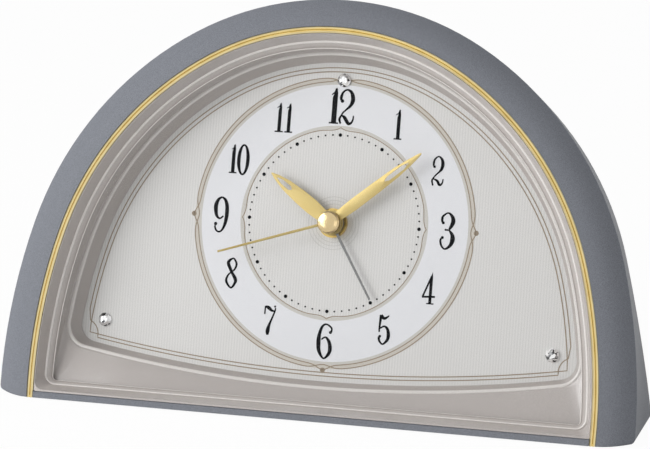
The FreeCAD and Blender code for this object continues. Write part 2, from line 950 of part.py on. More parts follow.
def make_minute_wheel():
    back = minute_direction + half_turn
    wheel = gear(minute_teeth, minute_module, minute_axis, back, -minute_wheel_depth, wheel_thickness)
    level = -hour_wheel_depth + pinion_lap
    thickness = wheel_thickness + pinion_lap * 2
    leaf = gear(hour_pinion_teeth, hour_module, minute_axis, back, level, thickness, True, True)
    neck_radius = hour_module * hour_pinion_teeth / 2 - hour_module * dedendum_share
    neck = disc(neck_radius, -minute_wheel_depth, level - thickness, minute_axis)
    low = -minute_wheel_depth - wheel_thickness
    wheel = wheel.fuse([leaf, neck])
    return wheel.cut(disc(stud_radius + running_gap, low, level, minute_axis))


def make_centre_wheel():
    direction = third_direction
    wheel = gear(centre_teeth, centre_module, V(0, 0, 0), direction, -centre_wheel_depth, wheel_thickness)
    bore = minute_tube_radius + running_gap
    return wheel.cut(disc(bore, -centre_wheel_depth - wheel_thickness, -centre_wheel_depth))


def make_third_wheel():
    back = third_direction + half_turn
    wheel = gear(third_teeth, third_module, third_axis, back, -third_wheel_depth, wheel_thickness)
    level = -centre_wheel_depth + pinion_lap
    thickness = wheel_thickness + pinion_lap * 2
    leaf = gear(third_pinion_teeth, centre_module, third_axis, back, level, thickness, True, True)
    return wheel.fuse([leaf, arbor(third_axis, arbor_radius)])


def make_second_wheel():
    wheel = gear(
        second_teeth, second_module, V(0, 0, 0), fifth_direction, -second_wheel_depth, wheel_thickness
    )
    level = -third_wheel_depth + pinion_lap
    thickness = wheel_thickness + pinion_lap * 2
    leaf = gear(
        second_pinion_teeth, third_module, V(0, 0, 0), third_direction, level, thickness, True, True
    )
    top = second_blade_level + blade_ridge + cap_rim
    rod = disc(second_arbor_radius, base_back_level + running_gap, top)
    low = base_back_level - pivot_depth + running_gap
    pivot = disc(pivot_radius, low, base_back_level + pivot_depth)
    return wheel.fuse([leaf, rod, pivot])


def make_fifth_wheel():
    back = fifth_direction + half_turn
    wheel = gear(fifth_teeth, rotor_module, fifth_axis, rotor_direction, -fifth_wheel_depth, wheel_thickness)
    level = -second_wheel_depth + pinion_lap
    thickness = wheel_thickness + pinion_lap * 2
    leaf = gear(fifth_pinion_teeth, second_module, fifth_axis, back, level, thickness, True, True)
    return wheel.fuse([leaf, arbor(fifth_axis, arbor_radius)])


def make_rotor():
    back = rotor_direction + half_turn
    level = -fifth_wheel_depth + pinion_lap
    thickness = wheel_thickness + pinion_lap * 2
    leaf = gear(rotor_teeth, rotor_module, rotor_axis, back, level, thickness, True, True)
    low = -rotor_depth - rotor_magnet_thickness
    magnet = disc(rotor_magnet_radius, low, level - thickness, rotor_axis)
    return leaf.fuse([magnet, arbor(rotor_axis, pivot_radius)])


def set_shaft(centre, teeth, module, direction, depth):
    """A setting shaft with its gear, from the front bearing to the knob behind."""
    level = -depth + pinion_lap
    thickness = wheel_thickness + pinion_lap * 2
    leaf = gear(teeth, module, centre, direction, level, thickness, True, True)
    end = plate_back_level - knob_gap - knob_bore_length
    shaft = disc(set_shaft_radius, end, base_inner_level - running_gap, centre)
    tip = base_inner_level + pivot_depth - running_gap
    pivot = disc(pivot_radius, end, tip, centre)
    return leaf.fuse([shaft, pivot])


def make_time_set_shaft():
    direction = time_set_direction + half_turn + time_set_phase()
    return set_shaft(time_set_axis, time_set_teeth, minute_module, direction, minute_wheel_depth)


def time_set_phase():
    """How far the setting gear's gap turns to meet the minute wheel's nearest tooth."""
    step = 360 / minute_teeth
    ahead = (time_set_direction - minute_direction - half_turn) % step
    return ahead * minute_teeth / time_set_teeth


def make_alarm_set_shaft():
    direction = alarm_set_direction + half_turn
    return set_shaft(alarm_set_axis, alarm_set_teeth, alarm_module, direction, alarm_wheel_depth)


def make_knob(centre):
    """A knob with a ridged edge, pressed on a setting shaft."""
    top = plate_back_level - knob_gap
    points = []
    for k in range(knob_ridges):
        for turn, radius in ((0, knob_radius), (0.5, knob_radius - ridge_depth)):
            points.append(compass(radius, (k + turn) * 360 / knob_ridges, centre))
    knob = prism(points, top - knob_length, top)
    return knob.cut(disc(set_shaft_radius + screw_gap, top - knob_bore_length, top, centre))


def make_stator():
    low = -stator_depth - stator_thickness
    levels = (low, -stator_depth)
    left = (-coil_offset - core_post_half - bobbin_flange_width, rotor_axis.x + stator_end_gap)
    foot = (-stator_foot_drop - stator_leg_half, -stator_foot_drop + stator_leg_half)
    head = (stator_head_rise - core_post_half * 2, stator_head_rise + core_post_half * 2)
    link = (rotor_axis.x - stator_link_width, rotor_axis.x)
    plate = block(left, foot, levels)
    plate = plate.fuse(block((left[0], link[1]), head, levels))
    plate = plate.fuse(block(link, (foot[1] - core_post_half, head[0] + core_post_half), levels))
    hole = disc(rotor_magnet_radius + rotor_hole_gap, low, -stator_depth, rotor_axis)
    plate = plate.cut(hole)
    x = (-coil_offset - core_post_half, -coil_offset + core_post_half)
    posts = []
    for middle in (-stator_foot_drop, stator_head_rise):
        y = (middle - core_post_half, middle + core_post_half)
        posts.append(block(x, y, (-stator_depth, coil_level() + coil_core_half)))
    bar_x = (-coil_offset - coil_core_half, -coil_offset + coil_core_half)
    bar_y = (-stator_foot_drop, stator_head_rise)
    bar_z = (coil_level() - coil_core_half, coil_level() + coil_core_half)
    return plate.fuse(posts + [block(bar_x, bar_y, bar_z)]).removeSplitter()


def coil_level():
    return -stator_depth + coil_radius + bobbin_flange_width + pinion_lap


def make_coil():
    """The winding between two bobbin flanges, with a square bore for the core."""
    middle = (stator_head_rise - stator_foot_drop) / 2
    start = V(-coil_offset, middle - coil_length / 2, coil_level())
    along = V(0, 1, 0)
    winding = Part.makeCylinder(coil_radius, coil_length, start, along)
    reach = coil_radius + bobbin_flange_width
    flange_x = (-coil_offset - reach, -coil_offset + reach)
    flange_z = (coil_level() - reach, coil_level() + reach)
    for low in (start.y, start.y + coil_length - bobbin_flange):
        winding = winding.fuse(block(flange_x, (low, low + bobbin_flange), flange_z))
    half = coil_core_half + running_gap
    x = (-coil_offset - half, -coil_offset + half)
    z = (coil_level() - half, coil_level() + half)
    return winding.cut(block(x, (start.y, start.y + coil_length), z))


def board_posts():
    x = board_near + board_width - board_post_inset
    low = board_bottom + board_post_inset
    return [V(x, low, 0), V(x, board_bottom + board_height - board_post_inset, 0)]


def make_circuit_board():
    x = (board_near, board_near + board_width)
    y = (board_bottom, board_bottom + board_height)
    levels = (-board_depth - board_thickness, -board_depth)
    board = block(x, y, levels)
    middle = V(sum(x) / 2, sum(y) / 2, 0)
    chip_x = (middle.x - chip_half, middle.x + chip_half)
    chip_y = (middle.y - chip_half, middle.y + chip_half)
    return board.fuse(block(chip_x, chip_y, (levels[0] - chip_height, levels[0])))


def make_crystal():
    x = board_near + crystal_radius * 2
    y = board_bottom + (board_height - crystal_length) / 2
    level = -board_depth - board_thickness - crystal_radius
    return Part.makeCylinder(crystal_radius, crystal_length, V(x, y, level), V(0, 1, 0))


def make_battery():
    start = V(-battery_length / 2, -battery_drop, battery_level)
    can_length = battery_length - battery_nub_length
    can = Part.makeCylinder(battery_radius, can_length, start, V(1, 0, 0))
    nub = Part.makeCylinder(battery_nub_radius, battery_length, start, V(1, 0, 0))
    return can.fuse(nub)


def make_contact(side):
    """A bent plate against one end of the cell, with a lug that enters the base's wall."""
    wall = movement_half_width - movement_wall
    end = battery_length / 2
    y = (-battery_drop - contact_half, -battery_drop + contact_half)
    z = (battery_level - contact_half, battery_level + contact_half)
    face = sorted((side * end, side * (end + contact_thickness)))
    back = sorted((side * (wall - contact_thickness), side * wall))
    foot = sorted((side * end, side * wall))
    plate = block(face, y, z).fuse(block(back, y, z))
    return plate.fuse(block(foot, y, (z[1] - contact_thickness, z[1]))).removeSplitter()


def cover_outer():
    sections = []
    for level, inset, height in cover_levels():
        outline = side_arch(level).grown(-inset)
        sections.append(outline.edges(level, foot_at(level, height), crease_corner))
    return ruled_solid(sections)


def cover_cavity():
    sections = []
    for level in (cover_inner_level, seam_level + overrun):
        outline = side_arch(level).grown(-case_wall)
        sections.append(outline.edges(level, foot_at(level, case_floor), inner_corner))
    return ruled_solid(sections)


def heel_profile(inset):
    """The heel's side view in the clock's frame, drawn inward by a wall."""
    lean_at_top = heel_height * sin_tilt / cos_tilt
    front = heel_start() + lean_at_top + inset
    back = heel_end() - inset
    toe = foot_gap + heel_toe_height - inset
    top = foot_gap + heel_height - inset
    low = foot_gap - (overrun if inset else 0)
    rear_wall = depth_of(back_level, foot_at(back_level)) - middle_depth() + lean_at_top
    return [(front, low), (back, low), (back, toe), (rear_wall - inset, top), (front, top)]


def heel(inset):
    """A low wedge behind the cover that widens the stance."""
    half = heel_half_width - inset
    corners = [V(-half, y, z) for y, z in heel_profile(inset)]
    face = Part.Face(Part.makePolygon(corners + corners[:1]))
    return into_dial_frame(face.extrude(V(half * 2, 0, 0)))


def sound_slots():
    slots = []
    for k in range(slot_count):
        y = sounder_rise + (k - (slot_count - 1) / 2) * slot_pitch
        x = (sounder_offset - slot_length / 2, sounder_offset + slot_length / 2)
        levels = (back_level, cover_inner_level)
        slots.append(block(x, (y - slot_width / 2, y + slot_width / 2), levels))
    return slots


def make_rear_cover():
    cover = cover_outer().cut(cover_cavity())
    shell = heel(0).cut(heel(heel_wall))
    for place in pad_places()[2:]:
        top = foot_gap + pad_recess + heel_wall
        seat = into_dial_frame(upright_pad(place, heel_wall, foot_gap, top))
        shell = shell.fuse(seat.common(heel(0)))
    cover = cover.fuse(shell.cut(cover_cavity()))
    outer = cover_outer()
    bosses = [disc(boss_radius, cover_inner_level, seam_level, spot) for spot in boss_points()]
    cover = cover.fuse([boss.common(outer) for boss in bosses])
    cuts = []
    head_top = back_level + case_screw_head_height
    for spot in boss_points():
        cuts.append(disc(case_screw_radius + running_gap, back_level, seam_level, spot))
        cuts.append(disc(case_screw_head_radius + head_gap, back_level - overrun, head_top, spot))
    for centre in (time_set_axis, alarm_set_axis):
        cuts.append(disc(knob_radius + knob_hole_gap, back_level, cover_inner_level, centre))
    door_x = (-door_half_width, door_half_width)
    door_y = (-door_bottom_drop, -door_top_drop)
    cuts.append(block(door_x, door_y, (back_level, cover_inner_level)))
    half = switch_stem_half + switch_gap
    x = (-switch_offset - half, -switch_offset + half)
    y = (switch_rise - half, switch_rise + half + switch_travel)
    cuts.append(block(x, y, (back_level, cover_inner_level)))
    cuts += sound_slots()
    for place in pad_places()[2:]:
        pad = upright_pad(place, screw_gap, 0, foot_gap + pad_recess)
        cuts.append(into_dial_frame(pad))
    return cover.cut(cuts)


def make_pads():
    pads = []
    for place in pad_places():
        pads.append(into_dial_frame(upright_pad(place, 0, 0, foot_gap + pad_recess)))
    return pads


def make_battery_cover():
    """A flush lid that tilts open about its lower outer edge on two tabs."""
    x = (-door_half_width + door_gap, door_half_width - door_gap)
    y = (-door_bottom_drop + door_gap, -door_top_drop - door_gap)
    z = (back_level + door_skin_inset, cover_inner_level - door_inner_gap)
    lid = block(x, y, z)
    tab_z = (cover_inner_level + tab_gap, cover_inner_level + tab_gap + tab_thickness)
    for middle in (-tab_span, tab_span):
        tab_x = (middle - tab_half_width, middle + tab_half_width)
        reach = (y[0] - tab_reach, y[0] + tab_root)
        lid = lid.fuse(block(tab_x, reach, tab_z))
        lid = lid.fuse(block(tab_x, (y[0], y[0] + tab_root), (z[0], tab_z[1])))
    grip_y = (y[1] - grip_height, y[1] - grip_depth)
    grip = block((-grip_half_width, grip_half_width), grip_y, (z[0], z[0] + grip_depth))
    return lid.cut(grip).removeSplitter()


def make_switch_body():
    x = (-switch_offset - switch_body_width / 2, -switch_offset + switch_body_width / 2)
    middle = switch_rise + switch_travel / 2
    y = (middle - switch_body_length / 2, middle + switch_body_length / 2)
    top = cover_inner_level + switch_body_thickness
    body = block(x, y, (cover_inner_level, top))
    half = switch_stem_half + switch_gap
    slot_x = (-switch_offset - half, -switch_offset + half)
    slot_y = (switch_rise - half, switch_rise + half + switch_travel)
    slot_z = (cover_inner_level, cover_inner_level + switch_stem_length + switch_gap)
    return body.cut(block(slot_x, slot_y, slot_z))


def make_switch_slider():
    x = (-switch_offset - switch_stem_half, -switch_offset + switch_stem_half)
    y = (switch_rise - switch_stem_half, switch_rise + switch_stem_half)
    outside = back_level - switch_gap
    stem = block(x, y, (outside, cover_inner_level + switch_stem_length))
    cap_x = (-switch_offset - switch_cap_width / 2, -switch_offset + switch_cap_width / 2)
    cap_y = (switch_rise - switch_cap_length / 2, switch_rise + switch_cap_length / 2)
    cap = block(cap_x, cap_y, (outside - switch_cap_height, outside))
    grooves = []
    for k in (-1, 0, 1):
        y = switch_rise + k * switch_cap_length / 4
        span = (y - switch_gap, y + switch_gap)
        level = outside - switch_cap_height
        grooves.append(block(cap_x, span, (level, level + switch_gap * 2)))
    return stem.fuse(cap.cut(grooves))


def make_sounder():
    centre = V(sounder_offset, sounder_rise, 0)
    top = cover_inner_level + sounder_thickness
    body = disc(sounder_radius, cover_inner_level, top, centre)
    return body.cut(disc(sounder_bore, cover_inner_level, cover_inner_level + sounder_bore_depth, centre))


def blade(length, half_width, shares, slot_shares, angle, level):
    """A hand with a folded middle ridge, drawn straight up and turned to its angle."""
    def outline(table):
        right = [V(half_width * b, length * a, 0) for a, b in table]
        return right + [V(-p.x, p.y, 0) for p in reversed(right)]

    top = level + blade_ridge
    flat = prism(outline(shares), level, top)
    edge = level + blade_edge
    section = [V(-half_width, 0, level), V(-half_width, 0, edge), V(0, 0, top)]
    section += [V(half_width, 0, edge), V(half_width, 0, level)]
    roof = Part.Face(Part.makePolygon(section + section[:1])).extrude(V(0, length, 0))
    hand = flat.common(roof)
    if slot_shares:
        hand = hand.cut(prism(outline(slot_shares), level, top))
    hand.rotate(V(0, 0, 0), V(0, 0, 1), -angle)
    return hand


def with_collar(hand, radius, bore, low, high):
    """Adds the collar that is pressed on a tube, and bores it."""
    return hand.fuse(disc(radius, low, high)).cut(disc(bore, low - overrun, high + overrun))


def make_hour_hand():
    sizes = (hour_length, hour_half_width, hour_shares, hour_slot_shares)
    hand = blade(*sizes, hour_angle, hour_blade_level)
    low = hour_blade_level - collar_drop
    bore = hour_tube_radius + screw_gap
    return with_collar(hand, collar_radius, bore, low, low + collar_height)


def make_minute_hand():
    sizes = (minute_length, minute_half_width, minute_shares, minute_slot_shares)
    hand = blade(*sizes, minute_angle, minute_blade_level)
    low = minute_blade_level - collar_drop
    bore = minute_tube_radius + screw_gap
    return with_collar(hand, minute_collar_radius, bore, low, low + collar_height)


def make_second_hand():
    hand = blade(second_length, second_half_width, thin_shares, None, second_angle, second_blade_level)
    low = second_blade_level - collar_drop
    bore = second_arbor_radius + screw_gap
    high = second_blade_level + blade_ridge
    return with_collar(hand, second_collar_radius, bore, low, high)


def make_alarm_hand():
    hand = blade(alarm_length, alarm_half_width, thin_shares, None, alarm_angle, alarm_blade_level)
    low = alarm_blade_level
    bore = alarm_tube_radius + screw_gap
    return with_collar(hand, collar_radius, bore, low, low + alarm_collar_height)


def make_hand_cap():
    """A domed cap on the second hand, with a blind bore for the arbor."""
    low = second_blade_level + blade_ridge
    corners = [V(0, 0, low), V(cap_radius, 0, low)]
    for radius_share, rise_share in cap_profile_shares:
        height = cap_rim + (cap_height - cap_rim) * rise_share
        corners.append(V(cap_radius * radius_share, 0, low + height))
    face = Part.Face(Part.makePolygon(corners + corners[:1]))
    dome = face.revolve(V(0, 0, 0), V(0, 0, 1), 360)
    return dome.cut(disc(second_arbor_radius + screw_gap, low, low + cap_rim + screw_gap))


def single(shape):
    """The one solid of a shape, freed from any compound round it."""
    if len(shape.Solids) != 1:
        raise ValueError("a piece has %d solids" % len(shape.Solids))
    return shape.Solids[0]


def parts():
    """Every piece by name, in the dial's frame."""
    pieces = {
        "front_case": make_front_case(),
        "gold_trim": make_trim(),
        "bezel": make_bezel(),
        "lens": make_lens(),
        "dial_plate": make_dial(),
        "dial_stones": [make_stone(place) for place in stone_places()],
        "rear_cover": make_rear_cover(),
        "battery_cover": make_battery_cover(),
        "foot_pads": make_pads(),
        "case_screws": make_case_screws(),
        "bezel_screws": make_bezel_screws(),
        "movement_base": make_movement_base(),
        "movement_back": make_movement_back(),
        "movement_screws": make_movement_screws(),
        "dial_nut": make_dial_nut(),
        "alarm_wheel": make_alarm_wheel(),
        "hour_wheel": make_hour_wheel(),
        "cannon_pinion": make_cannon(),
        "minute_wheel": make_minute_wheel(),
        "centre_wheel": make_centre_wheel(),
        "third_wheel": make_third_wheel(),
        "second_wheel": make_second_wheel(),
        "fifth_wheel": make_fifth_wheel(),
        "rotor": make_rotor(),
        "time_set_shaft": make_time_set_shaft(),
        "alarm_set_shaft": make_alarm_set_shaft(),
        "time_set_knob": make_knob(time_set_axis),
        "alarm_set_knob": make_knob(alarm_set_axis),
        "stator": make_stator(),
        "coil": make_coil(),
        "circuit_board": make_circuit_board(),
        "quartz_crystal": make_crystal(),
        "battery": make_battery(),
        "battery_plus_contact": make_contact(1),
        "battery_minus_contact": make_contact(-1),
        "alarm_switch_body": make_switch_body(),
        "alarm_switch_slider": make_switch_slider(),
        "sounder": make_sounder(),
        "hour_hand": make_hour_hand(),
        "minute_hand": make_minute_hand(),
        "second_hand": make_second_hand(),
        "alarm_hand": make_alarm_hand(),
        "hand_cap": make_hand_cap(),
    }
    return pieces


def export(name, piece):
    solids = piece if isinstance(piece, list) else [single(piece)]
    solids = [single(solid) for solid in solids]
    shape = Part.makeCompound(solids) if len(solids) > 1 else solids[0]
    shape.Placement = lean().multiply(shape.Placement)
    shape.exportStep("parts/%s.step" % name)


os.makedirs("parts", exist_ok=True)
for part_name, part_shape in parts().items():
    export(part_name, part_shape)
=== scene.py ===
import json
import math

import bpy
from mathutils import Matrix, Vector


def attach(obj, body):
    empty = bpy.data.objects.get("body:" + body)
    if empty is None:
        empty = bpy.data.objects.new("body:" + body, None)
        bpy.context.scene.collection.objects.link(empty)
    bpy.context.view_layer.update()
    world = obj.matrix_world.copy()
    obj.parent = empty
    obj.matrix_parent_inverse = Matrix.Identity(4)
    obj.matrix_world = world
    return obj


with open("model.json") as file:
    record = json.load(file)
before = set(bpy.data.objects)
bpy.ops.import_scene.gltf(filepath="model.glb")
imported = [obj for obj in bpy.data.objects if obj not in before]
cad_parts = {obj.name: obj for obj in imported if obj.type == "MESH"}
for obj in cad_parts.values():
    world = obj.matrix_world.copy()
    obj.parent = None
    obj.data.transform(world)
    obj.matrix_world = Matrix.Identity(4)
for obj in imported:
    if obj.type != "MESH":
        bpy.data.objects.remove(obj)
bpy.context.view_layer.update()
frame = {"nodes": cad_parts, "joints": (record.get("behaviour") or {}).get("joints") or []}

# The dial's own frame: right and up on its face and out towards the viewer, from the hand axis.
# Lengths there are in millimetres.
mm = 0.001
hand_joint = next(j for j in frame["joints"] if j["name"] == "minute_hand_turn")
hub = Vector(hand_joint["pos_m"])
right = Vector((1, 0, 0))
out = Vector(hand_joint["axis"]).normalized()
up = out.cross(right)

# Camera, placed from the hub
camera_reach = Vector((0.32754, -1.09830, 0.27957))
camera_dip = 13.73
camera_turn = 16.75
camera_lens = 195.8
sensor_width = 36.0

# Floor: how far it reaches, and how bright the camera sees it
floor_reach = 3.0
floor_glow = 0.96

# Lamps by name: place, width and power, all turned to one spot
lamp_aim = (0, 0, 0.06)
lamps = {
    "key": ((-0.8, -0.6, 0.6), 0.7, 5.3),
    "front": ((-0.85, -1.0, 0.4), 0.8, 3.8),
    "fill": ((0.7, -1.1, 0.3), 0.6, 0.6),
}

# Light of the surroundings: from where it is brightest, and its least and greatest strength
sky_side = (-0.75, -0.3, 0.6)
sky_low = 0.12
sky_high = 0.6

# CAD nodes: edges sharper than this many degrees stay hard, points closer than this many metres
# join, and the lens draws its skin in by this many millimetres
smooth_angle = 24.0
weld_distance = 0.000002
lens_ease = 0.03

# Heights of the printed layers above the dial's face, and how far the ink spreads
band_top = 0.04
line_top = 0.07
ink_top = 0.10
ink_weight = 1.2

# The gold strip's arch: rise above the hub, radii from the top down, and the angles from
# straight up at which the arcs meet; corners and arcs are cut into this many spans
strip_rise = 63.25
strip_radii = (83.5, 104.3, 180.0)
joint_angles = (30.0, 74.0)
arc_spans = (24, 24, 20)
corner_spans = 10
foot_spans = 24

# Mouldings of the bezel: outlines set in from the strip, with their feet and corners, and
# beads of (inset, level, radius), made lighter than the bezel as a painted highlight
window_inset = 3.7
window_foot = -60.95
window_foot_share = 0.6
window_corner = 3.4
least_corner = 0.5
window_bead = (3.55, 12.2, 0.5)
window_line = (5.7, 11.0, 0.17)
bead_sides = 14
window_line_sides = 10
slope_top = (3.9, 12.3)
slope_bottom = (5.6, 10.95)
slope_back = 0.5
slope_floor = 10.83
crest_inset = 6.6
crest_foot = -55.4
crest_corner = 8.0
crest_bow = 470.0
crest_bead = (6.9, 5.6, 0.75)

# Dark line of painted shade between the gold strip's beads: its outline goes below the foot that it
# is cut at
groove_level = 16.72
groove_height = 0.16
groove_width = 0.3
groove_foot = -65.2
groove_outline_foot = -66.0
groove_outline_corner = 1.0

# Screws in the rear cover: how near to a head's face its corners lie, and how near to each other;
# the arms of the crosses for the driver recesses, and the angle at which each cross stands
screw_face_slack = 0.03
screw_spacing = 8.0
recess_reach = 1.75
recess_half = 0.36
recess_height = 0.03
recess_turns = (12.0, 57.0, 31.0, 76.0)

# Rings of the dial
# The pale band stands for the shade at the chapter ring's inner edge: painted shade
chapter_band = (32.6, 46.3)
pale_shade_band = (31.5, 32.6)
soft_band = (46.3, 47.25)
light_band = (47.25, 48.65)
ring_sides = 180
ring_line_steps = 1080
ring_line_width = 0.34
hub_rings = (6.3, 7.5, 8.7)
hub_ring_width = 0.22

# Innermost ring line: it dips beside each quarter hour and comes to a point there
cusp_radius = 31.45
cusp_line_width = 0.28
cusp_dip = 0.36
cusp_dip_place = 3.0
cusp_dip_width = 3.2
cusp_rise = 0.75
cusp_rise_width = 0.9

# Two outer ring lines that change places at each quarter hour, and the dots beyond them
inner_line_radius = 47.35
inner_line_swing = 1.6
inner_line_reach = 2.6
outer_line_radius = 48.65
outer_line_swing = 1.4
outer_line_reach = 3.4
crossing_dot_radius = 49.1
crossing_dot = 0.85

# Dot track: a small dot at each ten minutes and a large one at each hour
track_radius = 29.5
track_dots = 72
dots_per_hour = 6
small_dot = (0.3, 10)
hour_dot = (0.6, 16)

# Border lines, set in from an arch like the strip's, with a notch at each lower corner
border_radii = (83.5, 104.3, 168.4)
border_step = 120.0 / 70
outer_border_inset = 11.3
inner_border_inset = 12.65
outer_border_drop = 51.1
inner_border_drop = 49.9
inner_border_overrun = 0.15
border_bow = 480.0
border_foot_spans = 20
border_line_width = 0.36
notch_centre = (84.7, -43.7)
notch_top = 5.2
notch_side = 4.55
notch_spans = 12

# Figures: where a flag meets its stem's tip and how it bends and swells, and an oval's steps
flag_meets = (-0.1, -0.35)
flag_bend = (0.25, -0.3)
flag_swell = 1.3
oval_steps = 48

# Figures. A stroke or loop is a line through points of (right, up, width), a dot is (right, up,
# radius), and an oval is (right, up, half width, half height, width at its sides, at its ends).
# A stem is (right, foot, shoulder, width, tip, flag, flag's width, foot's ends, foot's width).
numerals = {
    "12": {
        "stems": [(-2.72, 33.4, 43.4, 1.45, (-2.25, 45.3), (-4.0, 42.8), 0.6, (-4.35, -1.1), 0.5)],
        "strokes": [
            [(-.55, 41.1, .6), (-.65, 42.1, .8), (-.1, 43.8, .6), (1.3, 44.75, .5),
             (2.8, 43.9, .9), (3.45, 42, 1.2), (3.3, 40.6, 1.1), (2.6, 39.3, .8),
             (1.3, 38, .5), (.3, 37, .45), (-.2, 36, .5), (-.75, 34.8, .65),
             (-.4, 33.6, .5)],
            [(.1, 36, .4), (.9, 35.5, .9), (1.9, 34.1, 1.0), (2.6, 33.4, .8), (3.5, 33.9, .6),
             (3.95, 35, .45), (4.0, 36.2, .35)],
        ],
        "dots": [(-.17, 40.9, .6), (-.4, 33.6, .35)],
    },
    "1": {
        "stems": [(19.83, 29.4, 37.5, 1, (20.15, 39.4), (18.65, 37.35), .45, (18.45, 21.1), .45)],
    },
    "2": {
        "strokes": [
            [(32.9, 21.3, .5), (32.9, 22.4, .6), (33.3, 23.65, .5), (34.45, 24.5, .4),
             (35.55, 23.65, .7), (36, 22.1, .95), (35.7, 20.45, .8),
             (34.9, 19.35, .5), (33.9, 18.35, .4), (33.05, 17.25, .4),
             (32.7, 16.3, .5), (33, 15.05, .4)],
            [(33.2, 17, .35), (34.45, 16.4, .7), (35.15, 15.3, .75), (35.7, 15.15, .6),
             (36.25, 15.85, .4), (36.45, 17.1, .35)],
        ],
        "dots": [(33.2, 21.05, .45), (33, 15.05, .33)],
    },
    "3": {
        "strokes": [
            [(37.35, 2.9, .55), (37.2, 3.85, .7), (37.5, 4.95, .6), (39.15, 6.05, .45),
             (40.55, 4.95, .9), (41, 3.4, 1.2), (40.55, 1.9, 1.0), (39.85, .7, .6)],
            [(38.6, .45, .45), (40.1, .4, .45)],
            [(40, .2, .5), (40.97, -1.15, 1.0), (41.2, -2.7, 1.3), (40.55, -4.65, .9),
             (38.9, -5.9, .5), (37.65, -5.05, .55), (37.1, -3.4, .6),
             (37.35, -2.4, .5)],
        ],
        "dots": [(37.65, 2.7, .5), (38.6, .45, .35), (37.7, -2.2, .5)],
    },
    "4": {
        "stems": [(35.08, -24.35, -15.6, .83, (35.4, -13.8), None, 0, (33.9, 36.4), .4)],
        "strokes": [[(35.2, -15.05, .5), (32.5, -22.1, .5)], [(32.25, -22.2, .55),
                                                              (36.7, -21.95, .55)]],
    },
    "5": {
        "strokes": [
            [(18.83, -29.25, .8), (18.55, -33.8, .5), (18.6, -34.95, .4)],
            [(18.85, -29.4, .9), (19.95, -30.35, .8), (21.05, -29.8, .5), (21.6, -29.3, .3)],
            [(18.85, -33.7, .4), (20.2, -32.95, .5), (21.35, -33.85, .8), (21.8, -35.8, 1.0),
             (21.5, -37.45, .8), (20.1, -38.9, .45), (19, -38.15, .55),
             (18.6, -37.05, .65), (18.65, -36.4, .5)],
        ],
        "dots": [(18.9, -36.35, .45)],
    },
    "6": {
        "strokes": [
            [(2.1, -36.3, .5), (2.05, -34.9, .5), (.25, -33.8, .45), (-1.15, -34.65, .7),
             (-1.97, -37.3, .95), (-2.1, -39.8, 1.2), (-1.7, -42.85, 1.0),
             (0, -45.2, .5), (1.65, -43.65, .9), (2.05, -41.7, 1.1),
             (1.5, -39.5, .9), (.25, -38.15, .5), (-1.15, -38.95, .4)],
        ],
        "dots": [(1.8, -36.45, .5)],
    },
    "7": {
        "strokes": [
            [(-21.45, -29.25, .4), (-21.55, -32, .4)],
            [(-21.4, -29.4, .5), (-20.3, -29.8, 1.0), (-19.2, -30.65, .7),
             (-18.35, -30.8, .45)],
            [(-17.9, -29.7, .35), (-18.05, -30.8, .45), (-18.9, -33.3, .5),
             (-19.7, -35.5, .75), (-20.1, -37.45, 1.15), (-20.1, -38.9, .7)],
        ],
        "dots": [(-18.1, -29.25, .35)],
    },
    "8": {
        "loops": [
            [(-34.15, -14.2, .45), (-35.65, -15.6, .9), (-34.85, -17.7, .9), (-34, -19.2, .8),
             (-32.9, -20.9, 1.0), (-32.75, -22.15, .8), (-34.15, -24.1, .5),
             (-35.95, -22, .7), (-35.5, -20.05, .5), (-34.4, -18.8, .4),
             (-33.3, -17.85, .5), (-32.75, -16.15, .6), (-33.3, -14.8, .5)],
        ],
    },
    "9": {
        "strokes": [
            [(-39.6, 6.15, .45), (-40.8, 5.3, .8), (-41.5, 3.6, 1.15), (-41.55, 1.9, 1.15),
             (-41.05, -.2, .8), (-39.9, -1.1, .5), (-38.7, -.2, .45)],
            [(-39.6, 6.15, .45), (-38.45, 5.3, .8), (-37.75, 3.6, 1.05), (-37.55, 1.4, 1.1),
             (-37.65, -1.0, 1.05), (-38.1, -3.3, .8), (-38.9, -5.0, .55),
             (-39.95, -5.6, .5), (-41.0, -5.0, .5), (-41.5, -3.6, .5)],
        ],
        "dots": [(-41.25, -2.95, .58)],
    },
    "10": {
        "stems": [(-36.67, 14.6, 22.6, 1, (-36.35, 24.3), (-37.5, 22.45), .45, (-38, -35.3), .45)],
        "ovals": [(-33.2, 19.15, 1.6, 4.95, 1.0, .5)],
    },
    "11": {
        "stems": [
            (-21.55, 29.4, 37.5, .97, (-21.3, 39.2), (-22.65, 37.4), .45, (-23.0, -20.15), .45),
            (-18.25, 29.4, 37.5, .97, (-17.95, 39.2), (-19.3, 37.4), .45, (-19.6, -16.9), .45),
        ],
    },
}


# Materials


def linear(red, green, blue):
    """A colour written from 0 to 255 as light shows it, for a shader."""
    shares = [channel / 255 for channel in (red, green, blue)]
    return tuple(c / 12.92 if c <= 0.04045 else ((c + 0.055) / 1.055) ** 2.4 for c in shares) + (1,)


